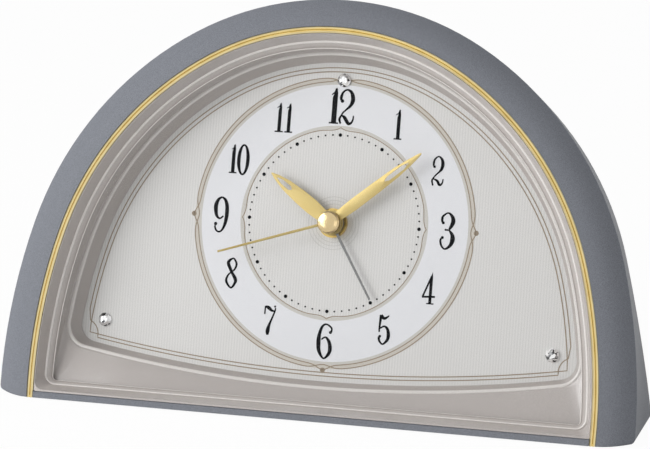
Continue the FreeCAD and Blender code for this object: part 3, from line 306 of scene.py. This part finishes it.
class Surface:
    """A Principled material with a few short calls for its nodes."""

    def __init__(self, name, roughness, metallic=0.0, **sockets):
        self.material = bpy.data.materials.new(name)
        self.material.use_nodes = True
        self.tree = self.material.node_tree
        self.shader = self.tree.nodes["Principled BSDF"]
        self.shader.inputs["Roughness"].default_value = roughness
        self.shader.inputs["Metallic"].default_value = metallic
        for socket, value in sockets.items():
            self.shader.inputs[socket.replace("_", " ")].default_value = value
        self.place = self.node("ShaderNodeTexCoord").outputs["Object"]

    def node(self, kind, **settings):
        made = self.tree.nodes.new(kind)
        for name, value in settings.items():
            setattr(made, name, value)
        return made

    def link(self, source, target):
        self.tree.links.new(source, target)

    def noise(self, scale, detail=2.0, stretch=None):
        made = self.node("ShaderNodeTexNoise")
        made.inputs["Scale"].default_value = scale
        made.inputs["Detail"].default_value = detail
        place = self.place
        if stretch:
            spread = self.node("ShaderNodeMapping")
            spread.inputs["Scale"].default_value = stretch
            self.link(place, spread.inputs["Vector"])
            place = spread.outputs["Vector"]
        self.link(place, made.inputs["Vector"])
        return made.outputs["Fac"]

    def ramp(self, source, *stops):
        """Colours by value: each stop is (value, colour)."""
        made = self.node("ShaderNodeValToRGB")
        elements = made.color_ramp.elements
        while len(elements) < len(stops):
            elements.new(0.5)
        for element, (value, colour) in zip(elements, stops):
            element.position = value
            element.color = colour
        self.link(source, made.inputs["Fac"])
        return made.outputs["Color"]

    def colour(self, source):
        self.link(source, self.shader.inputs["Base Color"])

    def tones(self, source, dark, light, low=0.3, high=0.7):
        """Colours from a dark to a light tone, (red, green, blue) each, between two values."""
        self.colour(self.ramp(source, (low, linear(*dark)), (high, linear(*light))))

    def gloss(self, source, low, high):
        """Drives the roughness between two values."""
        made = self.node("ShaderNodeMapRange")
        made.inputs["To Min"].default_value = low
        made.inputs["To Max"].default_value = high
        self.link(source, made.inputs["Value"])
        self.link(made.outputs["Result"], self.shader.inputs["Roughness"])

    def bump(self, source, strength, depth):
        made = self.node("ShaderNodeBump")
        made.inputs["Strength"].default_value = strength
        made.inputs["Distance"].default_value = depth
        self.link(source, made.inputs["Height"])
        self.link(made.outputs["Normal"], self.shader.inputs["Normal"])


def speckled(name, dark, light, scale, roughness, metallic=0.0, grain=0.1):
    """A grained finish that varies finely between two colours."""
    surface = Surface(name, roughness, metallic)
    fine = surface.noise(scale, detail=3.0)
    surface.tones(fine, dark, light)
    surface.bump(fine, strength=grain, depth=0.00005)
    surface.gloss(surface.noise(scale / 20), low=roughness - 0.05, high=roughness + 0.05)
    return surface.material


def case_lacquer():
    """Blue-grey lacquer with fine metal flake."""
    surface = Surface("case_lacquer", roughness=0.42, Specular_IOR_Level=0.02, Coat_Weight=0.06,
                      Coat_Roughness=0.25)
    flake = surface.noise(scale=5200.0, detail=1.0)
    surface.tones(flake, (113, 116, 123), (139, 142, 149), low=0.32, high=0.68)
    surface.bump(flake, strength=0.05, depth=0.00004)
    surface.gloss(surface.noise(scale=60.0), low=0.36, high=0.44)
    return surface.material


def bezel_plastic(name, dark, light):
    """Champagne grey plastic with a silky sheen."""
    surface = Surface(name, roughness=0.36, Coat_Weight=0.9, Coat_Roughness=0.13)
    flake = surface.noise(scale=4200.0, detail=1.0)
    surface.tones(flake, dark, light)
    surface.bump(flake, strength=0.04, depth=0.00003)
    surface.gloss(surface.noise(scale=45.0), low=0.3, high=0.38)
    return surface.material


def gold(name, dark, light, roughness):
    """Polished gold that varies slightly in tone."""
    surface = Surface(name, roughness, metallic=1.0)
    surface.tones(surface.noise(scale=160.0, detail=1.0), dark, light, low=0.2, high=0.8)
    surface.gloss(surface.noise(scale=900.0), low=roughness - 0.03, high=roughness + 0.03)
    return surface.material


def dial_face():
    """Silvery grey with fine upright pinstripes."""
    surface = Surface("dial_face", roughness=0.5, metallic=0.1)
    stripes = surface.node("ShaderNodeTexWave", bands_direction="X", wave_profile="SIN")
    stripes.inputs["Scale"].default_value = 330.0
    stripes.inputs["Distortion"].default_value = 0.0
    surface.link(surface.place, stripes.inputs["Vector"])
    lines = stripes.outputs["Fac"]
    surface.tones(lines, (213, 212, 210), (222, 221, 219), low=0.1, high=0.9)
    surface.bump(lines, strength=0.03, depth=0.00002)
    surface.gloss(surface.noise(scale=90.0), low=0.46, high=0.54)
    return surface.material


def print_ink(name, dark, light, roughness=0.5, shine=0.3):
    """A printed layer with a fine tooth."""
    surface = Surface(name, roughness, Specular_IOR_Level=shine)
    tooth = surface.noise(scale=3000.0)
    surface.tones(tooth, dark, light)
    surface.bump(tooth, strength=0.05, depth=0.00002)
    return surface.material


def lens_clear():
    """A clear window that adds only a slight gloss."""
    surface = Surface("lens_clear", roughness=0.04, Alpha=0.03, IOR=1.49)
    haze = surface.noise(scale=35.0)
    surface.tones(haze, (60, 64, 66), (76, 80, 82))
    surface.gloss(haze, low=0.03, high=0.06)
    return surface.material


def stone_glints():
    """Cut glass backed with foil, its facets painted dark, light and white: painted reflections and
    glints.
    """
    surface = Surface("stone_glints", roughness=0.05, metallic=0.55, IOR=1.9, Coat_Weight=0.6,
                      Coat_Roughness=0.02)
    facets = surface.node("ShaderNodeTexVoronoi")
    facets.inputs["Scale"].default_value = 1100.0
    surface.link(surface.place, facets.inputs["Vector"])
    split = surface.node("ShaderNodeSeparateColor")
    surface.link(facets.outputs["Color"], split.inputs["Color"])
    # Dark and white facets are painted reflections and glints
    dark, light, white = linear(60, 60, 63), linear(225, 226, 228), linear(254, 254, 254)
    surface.colour(surface.ramp(split.outputs["Red"], (0.2, dark), (0.32, light), (0.6, white)))
    surface.bump(facets.outputs["Distance"], strength=0.3, depth=0.0002)
    return surface.material


def winding_wire():
    """Copper wire, turn by turn."""
    surface = Surface("winding_wire", roughness=0.3, metallic=0.9)
    turns = surface.node("ShaderNodeTexWave", bands_direction="Z")
    turns.inputs["Scale"].default_value = 900.0
    surface.link(surface.place, turns.inputs["Vector"])
    lines = turns.outputs["Fac"]
    surface.tones(lines, (120, 58, 26), (205, 120, 70), low=0.2, high=0.8)
    surface.bump(lines, strength=0.5, depth=0.0001)
    return surface.material


def brushed(name, dark, light, roughness=0.3):
    """Metal with fine lines of varying tone and gloss."""
    surface = Surface(name, roughness, metallic=1.0)
    lines = surface.noise(scale=900.0, stretch=(1.0, 8.0, 1.0))
    surface.tones(lines, dark, light)
    surface.gloss(lines, low=roughness - 0.08, high=roughness + 0.08)
    return surface.material


dark_plastic = speckled("dark_plastic", (44, 45, 48), (56, 57, 60), 2600.0, 0.55, grain=0.25)
knob_plastic = speckled("knob_plastic", (38, 38, 41), (52, 52, 55), 2000.0, 0.5, grain=0.2)
white_acetal = speckled("white_acetal", (222, 220, 210), (234, 232, 224), 1500.0, 0.45)
screw_steel = brushed("screw_steel", (140, 142, 146), (186, 188, 192))
contact_steel = brushed("contact_steel", (150, 152, 156), (196, 198, 202))
hand_gold = gold("hand_gold", (184, 164, 108), (196, 178, 124), 0.46)
tube_gold = gold("tube_gold", (196, 164, 92), (226, 198, 128), 0.3)

# Every CAD node's finish
finishes = {
    "front_case": case_lacquer(),
    "gold_trim": gold("strip_gold", (224, 206, 154), (234, 218, 170), 0.3),
    "bezel": bezel_plastic("bezel_plastic", (174, 167, 163), (190, 183, 179)),
    "lens": lens_clear(),
    "dial_plate": dial_face(),
    "dial_stones": stone_glints(),
    "dial_nut": gold("nut_brass", (190, 160, 88), (222, 196, 124), 0.32),
    "hand_cap": gold("cap_gold", (214, 190, 142), (224, 202, 156), 0.18),
    "alarm_hand": brushed("alarm_grey", (132, 132, 132), (152, 152, 152), 0.4),
    "battery_cover": speckled("door_plastic", (46, 47, 50), (60, 61, 64), 2600.0, 0.5, grain=0.25),
    "foot_pads": speckled("pad_rubber", (34, 34, 34), (50, 50, 50), 1800.0, 0.8, grain=0.3),
    "movement_base": speckled("movement_black", (28, 28, 30), (40, 40, 43), 1800.0, 0.5),
    "movement_back": speckled("movement_back_black", (30, 30, 32), (42, 42, 45), 1800.0, 0.45),
    "rotor": speckled("rotor_magnet", (66, 66, 70), (86, 86, 90), 1200.0, 0.35, 0.6),
    "stator": brushed("stator_iron", (96, 98, 102), (136, 138, 142), 0.4),
    "coil": winding_wire(),
    "circuit_board": speckled("board_green", (22, 78, 46), (34, 98, 60), 700.0, 0.4),
    "quartz_crystal": brushed("crystal_can", (176, 178, 182), (214, 216, 220), 0.2),
    "battery": speckled("cell_sleeve", (128, 26, 22), (146, 34, 28), 500.0, 0.3),
    "alarm_switch_slider": speckled("slider_grey", (176, 176, 174), (196, 196, 194), 1800.0, 0.45),
    "sounder": speckled("sounder_black", (20, 20, 22), (34, 34, 36), 1500.0, 0.5),
}
for finish, nodes in (
    (dark_plastic, ("rear_cover", "alarm_switch_body")),
    (knob_plastic, ("time_set_knob", "alarm_set_knob")),
    (white_acetal, ("alarm_wheel", "minute_wheel", "centre_wheel", "third_wheel", "second_wheel",
                    "fifth_wheel", "time_set_shaft", "alarm_set_shaft")),
    (screw_steel, ("case_screws", "bezel_screws", "movement_screws")),
    (contact_steel, ("battery_plus_contact", "battery_minus_contact")),
    (hand_gold, ("hour_hand", "minute_hand", "second_hand")),
    (tube_gold, ("hour_wheel", "cannon_pinion")),
):
    finishes.update(dict.fromkeys(nodes, finish))

# Finishes of the printed and added pieces
# A lighter copy of the bezel's plastic for the beads: painted highlight along the ridges
bezel_highlight_tone = bezel_plastic("bezel_highlight_tone", (218, 213, 209), (230, 226, 222))
# Darker gold for the strip's groove: painted shade
groove_shade_gold = gold("groove_shade_gold", (112, 86, 30), (134, 104, 40), 0.5)
ring_white = print_ink("ring_white", (232, 233, 237), (239, 240, 243))
band_grey = print_ink("band_grey", (206, 203, 197), (212, 209, 203))
band_tan = print_ink("band_tan", (206, 200, 190), (213, 207, 198))
line_brown = print_ink("line_brown", (150, 136, 118), (166, 151, 132), 0.4)
numeral_black = print_ink("numeral_black", (10, 10, 13), (20, 20, 24), 0.55, 0.08)
hub_ring_grey = print_ink("hub_ring_grey", (198, 197, 194), (206, 205, 202))
# Near-black for the crosses on the screw heads: painted shade in the driver recesses
recess_shade = brushed("recess_shade", (26, 27, 29), (38, 39, 42), 0.5)


def smooth_by_angle():
    """A modifier group that joins the facets of a round face and keeps the hard edges."""
    group = bpy.data.node_groups.new("smooth_round_faces", "GeometryNodeTree")
    group.interface.new_socket("Geometry", in_out="INPUT", socket_type="NodeSocketGeometry")
    group.interface.new_socket("Geometry", in_out="OUTPUT", socket_type="NodeSocketGeometry")
    nodes = group.nodes
    start = nodes.new("NodeGroupInput")
    plain = nodes.new("GeometryNodeRemoveAttribute")
    plain.inputs["Name"].default_value = "custom_normal"
    merge = nodes.new("GeometryNodeMergeByDistance")
    merge.inputs["Distance"].default_value = weld_distance
    faces = nodes.new("GeometryNodeSetShadeSmooth")
    faces.domain = "FACE"
    angle = nodes.new("GeometryNodeInputMeshEdgeAngle")
    hard = nodes.new("FunctionNodeCompare")
    hard.operation = "GREATER_THAN"
    hard.inputs[1].default_value = math.radians(smooth_angle)
    edges = nodes.new("GeometryNodeSetShadeSmooth")
    edges.domain = "EDGE"
    edges.inputs["Shade Smooth"].default_value = False
    end = nodes.new("NodeGroupOutput")
    link = group.links.new
    link(start.outputs[0], plain.inputs["Geometry"])
    link(plain.outputs["Geometry"], merge.inputs["Geometry"])
    link(merge.outputs["Geometry"], faces.inputs["Geometry"])
    link(faces.outputs["Geometry"], edges.inputs["Geometry"])
    link(angle.outputs["Unsigned Angle"], hard.inputs[0])
    link(hard.outputs["Result"], edges.inputs["Selection"])
    link(edges.outputs["Geometry"], end.inputs[0])
    return group


def dress_nodes():
    """Gives every CAD node its finish and its smoothing, and eases the lens off its seat."""
    group = smooth_by_angle()
    for name, node in frame["nodes"].items():
        node.data.materials.clear()
        node.data.materials.append(finishes[name])
        node.modifiers.new("smooth", "NODES").node_group = group
    ease = frame["nodes"]["lens"].modifiers.new("ease", "DISPLACE")
    ease.mid_level = 0.0
    ease.strength = -lens_ease * mm


# Shared by all added pieces


def dial_point(x, w, level):
    """A point in metres from right, up and out in the dial's frame."""
    return hub + (right * x + up * w + out * level) * mm


def heading(turn):
    """The direction on the dial at an angle from straight up."""
    return Vector((math.sin(turn), math.cos(turn)))


def bearing(vector):
    """The angle from straight up of a direction on the dial."""
    return math.atan2(vector.x, vector.y)


def add_piece(name, points, faces, material, smooth=False):
    mesh = bpy.data.meshes.new(name)
    mesh.from_pydata(points, [], faces)
    if smooth:
        mesh.shade_smooth()
    mesh.materials.append(material)
    made = bpy.data.objects.new(name, mesh)
    bpy.context.scene.collection.objects.link(made)
    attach(made, "clock")


# Printed pieces


class Print:
    """A thin closed mesh that lies on the dial's face, or between two levels of its frame."""

    def __init__(self, top, base=0.0):
        self.points = []
        self.faces = []
        self.heights = (base, top)

    def slab(self, bottom, top, loop):
        """Joins two rows of points, (right, up) each, by strips with closed ends."""
        count = len(bottom)
        start = len(self.points)
        for row in (bottom, top):
            for height in self.heights:
                self.points += [dial_point(x, w, height) for x, w in row]
        low_a, high_a, low_b, high_b = (start + count * k for k in range(4))
        last = count if loop else count - 1
        for k in range(last):
            n = (k + 1) % count
            self.faces.append((high_a + k, high_a + n, high_b + n, high_b + k))
            self.faces.append((low_a + n, low_a + k, low_b + k, low_b + n))
            self.faces.append((low_a + k, low_a + n, high_a + n, high_a + k))
            self.faces.append((low_b + n, low_b + k, high_b + k, high_b + n))
        if not loop:
            self.faces.append((low_a, high_a, high_b, low_b))
            end = count - 1
            self.faces.append((low_a + end, low_b + end, high_b + end, high_a + end))

    def stroke(self, line, loop=False):
        """A line of (right, up, width) points."""
        left_side, right_side = [], []
        count = len(line)
        for k, (x, w, width) in enumerate(line):
            before = line[(k - 1) % count] if loop or k else line[k]
            after = line[(k + 1) % count] if loop or k + 1 < count else line[k]
            run = Vector((after[0] - before[0], after[1] - before[1])).normalized()
            side = Vector((-run.y, run.x)) * width / 2
            left_side.append((x - side.x, w - side.y))
            right_side.append((x + side.x, w + side.y))
        self.slab(left_side, right_side, loop)

    def ring(self, inner, outer):
        """A flat ring round the hub."""
        steps = [2 * math.pi * k / ring_sides for k in range(ring_sides)]
        circles = [[(radius * math.cos(a), radius * math.sin(a)) for a in steps]
                   for radius in (outer, inner)]
        self.slab(*circles, True)

    def dot(self, x, w, radius, sides=20):
        steps = [2 * math.pi * k / sides for k in range(sides)]
        self.polygon([(x + radius * math.cos(a), w + radius * math.sin(a)) for a in steps])

    def polygon(self, rim):
        """A flat shape with straight edges through (right, up) points, anticlockwise."""
        start = len(self.points)
        count = len(rim)
        for height in self.heights:
            self.points += [dial_point(x, w, height) for x, w in rim]
        self.faces.append(tuple(start + count + k for k in range(count)))
        self.faces.append(tuple(start + count - 1 - k for k in range(count)))
        for k in range(count):
            n = (k + 1) % count
            self.faces.append((start + k, start + n, start + count + n, start + count + k))

    def piece(self, name, material):
        add_piece(name, self.points, self.faces, material)


def curve_through(points, loop=False, steps=7):
    """A smooth line through (right, up, width) points."""
    count = len(points)
    spans = count if loop else count - 1
    line = []
    for k in range(spans):
        a, b, c, d = (
            points[(k + shift) % count] if loop else points[min(max(k + shift, 0), count - 1)]
            for shift in (-1, 0, 1, 2)
        )
        for step in range(steps):
            t = step / steps
            line.append(tuple(
                0.5 * (2 * q + (r - p) * t + (2 * p - 5 * q + 4 * r - s) * t**2
                       + (3 * q - p - 3 * r + s) * t**3)
                for p, q, r, s in zip(a, b, c, d)
            ))
    if not loop:
        line.append(points[-1])
    return line


def around(radius_at, width):
    """A closed line whose radius depends on the angle from the nearest quarter hour."""
    line = []
    for k in range(ring_line_steps):
        angle = 2 * math.pi * k / ring_line_steps
        off = (angle + math.pi / 4) % (math.pi / 2) - math.pi / 4
        radius = radius_at(off)
        line.append((radius * math.cos(angle), radius * math.sin(angle), width))
    return line


def swell(distance, width):
    """A smooth hump: one in its middle and near nought at twice its width."""
    return math.exp(-((distance / width) ** 2))


def cusped(off):
    reach = abs(off) * cusp_radius
    dip = cusp_dip * swell(reach - cusp_dip_place, cusp_dip_width)
    return cusp_radius - dip + cusp_rise * math.exp(-reach / cusp_rise_width)


def inner_crossing(off):
    swing = swell(off * inner_line_radius, inner_line_reach)
    return inner_line_radius + inner_line_swing * swing


def outer_crossing(off):
    swing = swell(off * outer_line_radius, outer_line_reach)
    return outer_line_radius - outer_line_swing * swing


def make_rings():
    """The dial's bands, ring lines and the faint rings round the hub; the pale band inside the
    chapter ring is painted shade.
    """
    for name, band, material in (
        ("print_chapter_ring", chapter_band, ring_white),
        ("painted_shade_band", pale_shade_band, band_grey),
        ("print_soft_band", soft_band, band_grey),
        ("print_light_band", light_band, band_tan),
    ):
        made = Print(band_top)
        made.ring(*band)
        made.piece(name, material)
    lines = Print(line_top)
    lines.stroke(around(cusped, cusp_line_width), True)
    lines.stroke(around(inner_crossing, ring_line_width), True)
    lines.stroke(around(outer_crossing, ring_line_width), True)
    for x, w in ((1, 0), (-1, 0), (0, -1)):
        lines.dot(x * crossing_dot_radius, w * crossing_dot_radius, crossing_dot)
    lines.piece("print_ring_lines", line_brown)
    faint = Print(band_top / 2)
    for radius in hub_rings:
        faint.ring(radius, radius + hub_ring_width)
    faint.piece("print_hub_rings", hub_ring_grey)


def make_track():
    dots = Print(ink_top)
    for k in range(track_dots):
        spot = track_radius * heading(2 * math.pi * k / track_dots)
        dots.dot(*spot, *(small_dot if k % dots_per_hour else hour_dot))
    dots.piece("print_dot_track", numeral_black)


def weighted(line):
    """A figure's stroke at the weight that the ink has spread to."""
    return [(x, w, width * ink_weight) for x, w, width in line]


def stem(made, data):
    """The upright of a figure: a pointed top, a foot and, but for the 4, a flag to the left."""
    x, low, high, width, tip, flag, flag_width, foot, foot_width = data
    half = width * ink_weight / 2
    foot_corners = [(x - half, low), (x + half, low)]
    made.polygon(foot_corners + [(x + half, high), tip, (x - half, high - width)])
    if flag:
        meets = [a + b for a, b in zip(tip, flag_meets)]
        bend = [(a + b) / 2 + c for a, b, c in zip(flag, meets, flag_bend)]
        root = flag_width * flag_swell
        made.stroke([(*flag, flag_width / 2), (*bend, flag_width), (*meets, root)])
    made.stroke([(foot[0], low, foot_width), (foot[1], low, foot_width)])


def oval(x, w, half_x, half_w, side, end):
    """A nought: an oval line that is widest at its sides."""
    line = []
    for k in range(oval_steps):
        angle = 2 * math.pi * k / oval_steps
        width = end + (side - end) * math.cos(angle) ** 2
        line.append((x + half_x * math.cos(angle), w + half_w * math.sin(angle), width))
    return line


def make_numerals():
    for label, parts in numerals.items():
        made = Print(ink_top)
        for data in parts.get("stems", []):
            stem(made, data)
        for line in parts.get("strokes", []):
            made.stroke(weighted(curve_through(line)))
        for line in parts.get("loops", []):
            made.stroke(weighted(curve_through(line, True)), True)
        for x, w, radius in parts.get("dots", []):
            made.dot(x, w, radius)
        for data in parts.get("ovals", []):
            made.stroke(weighted(oval(*data)), True)
        made.piece("print_numeral_" + label, numeral_black)


def arch_centres(radii):
    """The centres of an arch's arcs, from the top down."""
    centres = [Vector((0, strip_rise - radii[0]))]
    for k, joint in enumerate(joint_angles):
        step = (radii[k] - radii[k + 1]) * heading(math.radians(joint))
        centres.append(centres[k] + step)
    return centres


def border_point(inset, angle):
    """A point of the border's arch, set in, at an angle from straight up."""
    arc = sum(angle > joint for joint in joint_angles)
    reach = border_radii[arc] - inset
    return arch_centres(border_radii)[arc] + heading(math.radians(angle)) * reach


def bow(x, drop):
    return -drop + x * x / (2 * border_bow)


def side_line(inset, floor_at):
    """The right half of a border's arch, from the top down to its foot."""
    line = []
    angle = 0.0
    spot = border_point(inset, angle)
    while spot.y > floor_at(spot.x):
        line.append((spot.x, spot.y, border_line_width))
        angle += border_step
        spot = border_point(inset, angle)
    return line


def foot_line(edge, drop):
    """The right half of a border's bowed foot, from its end to the middle."""
    spots = [edge * (1 - k / border_foot_spans) for k in range(border_foot_spans + 1)]
    return [(x, bow(x, drop), border_line_width) for x in spots]


def mirrored(half):
    """A closed line from its right half, which starts and ends in the middle."""
    return half + [(-x, w, width) for x, w, width in reversed(half[1:-1])]


def make_border():
    """Two lines round the dial; the outer one goes round each lower corner in a hollow arc."""
    lines = Print(line_top)
    notch_x, notch_w = notch_centre
    notch_from = notch_w + notch_top
    half = side_line(outer_border_inset, lambda x: notch_from)
    first = math.atan2(notch_top, half[-1][0] - notch_x)
    for k in range(1, notch_spans + 1):
        share = k / notch_spans
        angle = first + (math.pi - first) * share
        radius = notch_top + (notch_side - notch_top) * share
        spot = (notch_x + radius * math.cos(angle), notch_w + radius * math.sin(angle))
        half.append((*spot, border_line_width))
    half += foot_line(half[-1][0], outer_border_drop)
    lines.stroke(mirrored(half), True)
    half = side_line(inner_border_inset, lambda x: bow(x, inner_border_drop))
    half += foot_line(half[-1][0] + inner_border_overrun, inner_border_drop)
    lines.stroke(mirrored(half), True)
    lines.piece("print_border_lines", line_brown)


# Mouldings of the bezel


def arc_points(centre, radius, first, last, steps):
    """Points on an arc, (right, up) each, by angles from straight up."""
    turns = [first + (last - first) * k / steps for k in range(steps + 1)]
    return [centre + heading(turn) * radius for turn in turns]


def arch_outline(inset, foot, corner, bow_radius=0.0):
    """A closed outline set in from the strip, with round corners and a straight or bowed foot."""
    radii = [radius - inset for radius in strip_radii]
    centres = arch_centres(strip_radii)
    side, side_radius = centres[-1], radii[-1]
    if bow_radius:
        pole = Vector((0, foot + bow_radius))
        far, near = side_radius - corner, bow_radius - corner
        span = (pole - side).length
        along = (far * far - near * near + span * span) / (2 * span)
        across = math.sqrt(far * far - along * along)
        ahead = (pole - side) / span
        aside = Vector((-ahead.y, ahead.x)) * across
        crossings = [side + ahead * along + aside * sign for sign in (-1, 1)]
        knee = min(crossings, key=lambda point: point.y)
        toe = pole + (knee - pole).normalized() * bow_radius
        bottom = arc_points(pole, bow_radius, math.pi, bearing(toe - pole), foot_spans)
    else:
        rise = foot + corner
        across = math.sqrt((side_radius - corner) ** 2 - (rise - side.y) ** 2)
        knee = Vector((side.x + across, rise))
        toe = Vector((knee.x, foot))
        bottom = [Vector((toe.x * k / foot_spans, foot)) for k in range(foot_spans + 1)]
    heel = side + (knee - side).normalized() * side_radius
    half = bottom
    half += arc_points(knee, corner, bearing(toe - knee), bearing(heel - knee), corner_spans)[1:]
    bounds = [bearing(heel - side), *(math.radians(joint) for joint in reversed(joint_angles)), 0.0]
    for k, spans in enumerate(arc_spans):
        arc = len(radii) - 1 - k
        half += arc_points(centres[arc], radii[arc], bounds[k], bounds[k + 1], spans)[1:]
    return half + [Vector((-point.x, point.y)) for point in reversed(half[1:-1])]


def moulding(name, loops, material):
    """A closed ring of the bezel's plastic through (outline, level) loops round its section."""
    points = []
    for outline, level in loops:
        points += [dial_point(x, w, level) for x, w in outline]
    count = len(loops[0][0])
    faces = []
    for row in range(len(loops)):
        after = (row + 1) % len(loops)
        for k in range(count):
            n = (k + 1) % count
            faces.append((row * count + k, row * count + n, after * count + n, after * count + k))
    add_piece(name, points, faces, material, smooth=True)


def bead(name, data, outline_at, sides=bead_sides):
    """A moulding of round section in the lighter plastic of painted highlight: data is its middle's
    inset and level, and its radius.
    """
    inset, level, radius = data
    loops = []
    for k in range(sides):
        angle = 2 * math.pi * k / sides
        outline = outline_at(inset + radius * math.cos(angle))
        loops.append((outline, level + radius * math.sin(angle)))
    moulding(name, loops, bezel_highlight_tone)


def window_outline(inset):
    step = inset - window_inset
    corner = max(window_corner - step, least_corner)
    return arch_outline(inset, window_foot + step * window_foot_share, corner)


def crest_outline(inset):
    step = inset - crest_inset
    return arch_outline(inset, crest_foot + step, crest_corner - step, crest_bow)


def make_mouldings():
    """The ridge, thin line and slope round the window, and the rounded crest of the cove; the
    ridge, line and crest are lighter than the bezel, a painted highlight.
    """
    bead("bezel_window_ridge", window_bead, window_outline)
    bead("bezel_window_line", window_line, window_outline, window_line_sides)
    back = slope_top[0] - slope_back
    profile = [(back, slope_top[1]), slope_top, slope_bottom, (slope_bottom[0], slope_floor)]
    profile.append((back, slope_floor))
    loops = [(window_outline(inset), level) for inset, level in profile]
    moulding("bezel_window_slope", loops, finishes["bezel"])
    bead("bezel_cove_ridge", crest_bead, crest_outline)


def make_groove():
    """The dark line of painted shade between the two beads of the gold strip, open at its feet."""
    outline = arch_outline(0.0, groove_outline_foot, groove_outline_corner)
    made = Print(groove_level + groove_height, groove_level)
    made.stroke([(x, w, groove_width) for x, w in outline if w > groove_foot])
    made.piece("trim_groove_shade", groove_shade_gold)


# Screws behind


def screw_spots():
    """The middles of the screw heads behind, (right, up) each, and the level of their faces."""
    corners = [(corner.co - hub) / mm for corner in frame["nodes"]["case_screws"].data.vertices]
    level = min(corner.dot(out) for corner in corners)
    heads = []
    for corner in corners:
        if corner.dot(out) < level + screw_face_slack:
            spot = Vector((corner.dot(right), corner.dot(up)))
            near = next((head for head in heads if (head[0] - spot).length < screw_spacing), None)
            if near:
                near.append(spot)
            else:
                heads.append([spot])
    return [sum(head, Vector((0, 0))) / len(head) for head in heads], level


def make_recess_shade():
    """Dark crosses of painted shade that stand for the driver recesses of the four screws."""
    spots, level = screw_spots()
    made = Print(level, level - recess_height)
    reach, half = recess_reach, recess_half
    quarter = [(reach, -half), (reach, half), (half, half)]
    for spot, turn in zip(spots, recess_turns):
        rim = []
        for k in range(4):
            angle = math.radians(turn + 90 * k)
            for x, w in quarter:
                rim.append((spot.x + x * math.cos(angle) - w * math.sin(angle),
                            spot.y + x * math.sin(angle) + w * math.cos(angle)))
        made.polygon(rim)
    made.piece("case_screw_recess_shade", recess_shade)


# Stage, camera and light


def make_camera():
    data = bpy.data.cameras.new("camera")
    data.lens = camera_lens
    data.sensor_width = sensor_width
    camera = bpy.data.objects.new("camera", data)
    camera.location = hub + camera_reach
    camera.rotation_euler = (math.radians(90 - camera_dip), 0, math.radians(camera_turn))
    bpy.context.scene.collection.objects.link(camera)
    bpy.context.scene.camera = camera


def make_floor():
    mesh = bpy.data.meshes.new("floor")
    signs = ((-1, -1), (1, -1), (1, 1), (-1, 1))
    corners = [(x * floor_reach, y * floor_reach, 0) for x, y in signs]
    mesh.from_pydata(corners, [], [(0, 1, 2, 3)])
    mesh.materials.append(floor_white())
    floor = bpy.data.objects.new("floor", mesh)
    bpy.context.scene.collection.objects.link(floor)


def direct_look(tree):
    """One for a ray from the camera, a mirror or a window, and otherwise nought."""
    paths = tree.nodes.new("ShaderNodeLightPath")
    total = paths.outputs["Is Camera Ray"]
    for kind in ("Is Glossy Ray", "Is Transmission Ray"):
        larger = tree.nodes.new("ShaderNodeMath")
        larger.operation = "MAXIMUM"
        tree.links.new(total, larger.inputs[0])
        tree.links.new(paths.outputs[kind], larger.inputs[1])
        total = larger.outputs[0]
    return total


def floor_white():
    """Matt white that the camera sees nearly at full white, with the object's shadow kept."""
    surface = Surface("floor_white", roughness=0.9)
    surface.tones(surface.noise(scale=40.0), (244, 244, 244), (250, 250, 250))
    glow = surface.node("ShaderNodeEmission")
    mix = surface.node("ShaderNodeMixShader")
    seen = surface.node("ShaderNodeMath", operation="MULTIPLY")
    seen.inputs[1].default_value = floor_glow
    surface.link(direct_look(surface.tree), seen.inputs[0])
    surface.link(seen.outputs[0], mix.inputs["Fac"])
    surface.link(surface.shader.outputs[0], mix.inputs[1])
    surface.link(glow.outputs[0], mix.inputs[2])
    surface.link(mix.outputs[0], surface.tree.nodes["Material Output"].inputs["Surface"])
    return surface.material


def make_lamps():
    for name, (place, width, power) in lamps.items():
        data = bpy.data.lights.new(name, "AREA")
        data.size = width
        data.energy = power
        lamp = bpy.data.objects.new(name, data)
        lamp.location = place
        lamp.rotation_euler = (Vector(lamp_aim) - Vector(place)).to_track_quat("-Z", "Y").to_euler()
        bpy.context.scene.collection.objects.link(lamp)


def make_world():
    """Soft light, brighter from the upper left, against a background that looks white."""
    world = bpy.data.worlds.new("studio")
    bpy.context.scene.world = world
    world.use_nodes = True
    tree = world.node_tree
    link = tree.links.new
    background = tree.nodes["Background"]
    background.inputs["Color"].default_value = (1, 1, 1, 1)
    direction = tree.nodes.new("ShaderNodeTexCoord").outputs["Generated"]
    side = tree.nodes.new("ShaderNodeVectorMath")
    side.operation = "DOT_PRODUCT"
    side.inputs[1].default_value = Vector(sky_side).normalized()
    link(direction, side.inputs[0])
    sky = tree.nodes.new("ShaderNodeMapRange")
    sky.inputs["From Min"].default_value = -1.0
    sky.inputs["To Min"].default_value = sky_low
    sky.inputs["To Max"].default_value = sky_high
    link(side.outputs["Value"], sky.inputs["Value"])
    strength = tree.nodes.new("ShaderNodeMix")
    link(direct_look(tree), strength.inputs["Factor"])
    link(sky.outputs["Result"], strength.inputs["A"])
    strength.inputs["B"].default_value = 1.0
    link(strength.outputs["Result"], background.inputs["Strength"])


make_camera()
dress_nodes()
make_rings()
make_track()
make_numerals()
make_border()
make_mouldings()
make_groove()
make_recess_shade()
make_floor()
make_world()
make_lamps()
bpy.context.scene.view_settings.view_transform = "Standard"
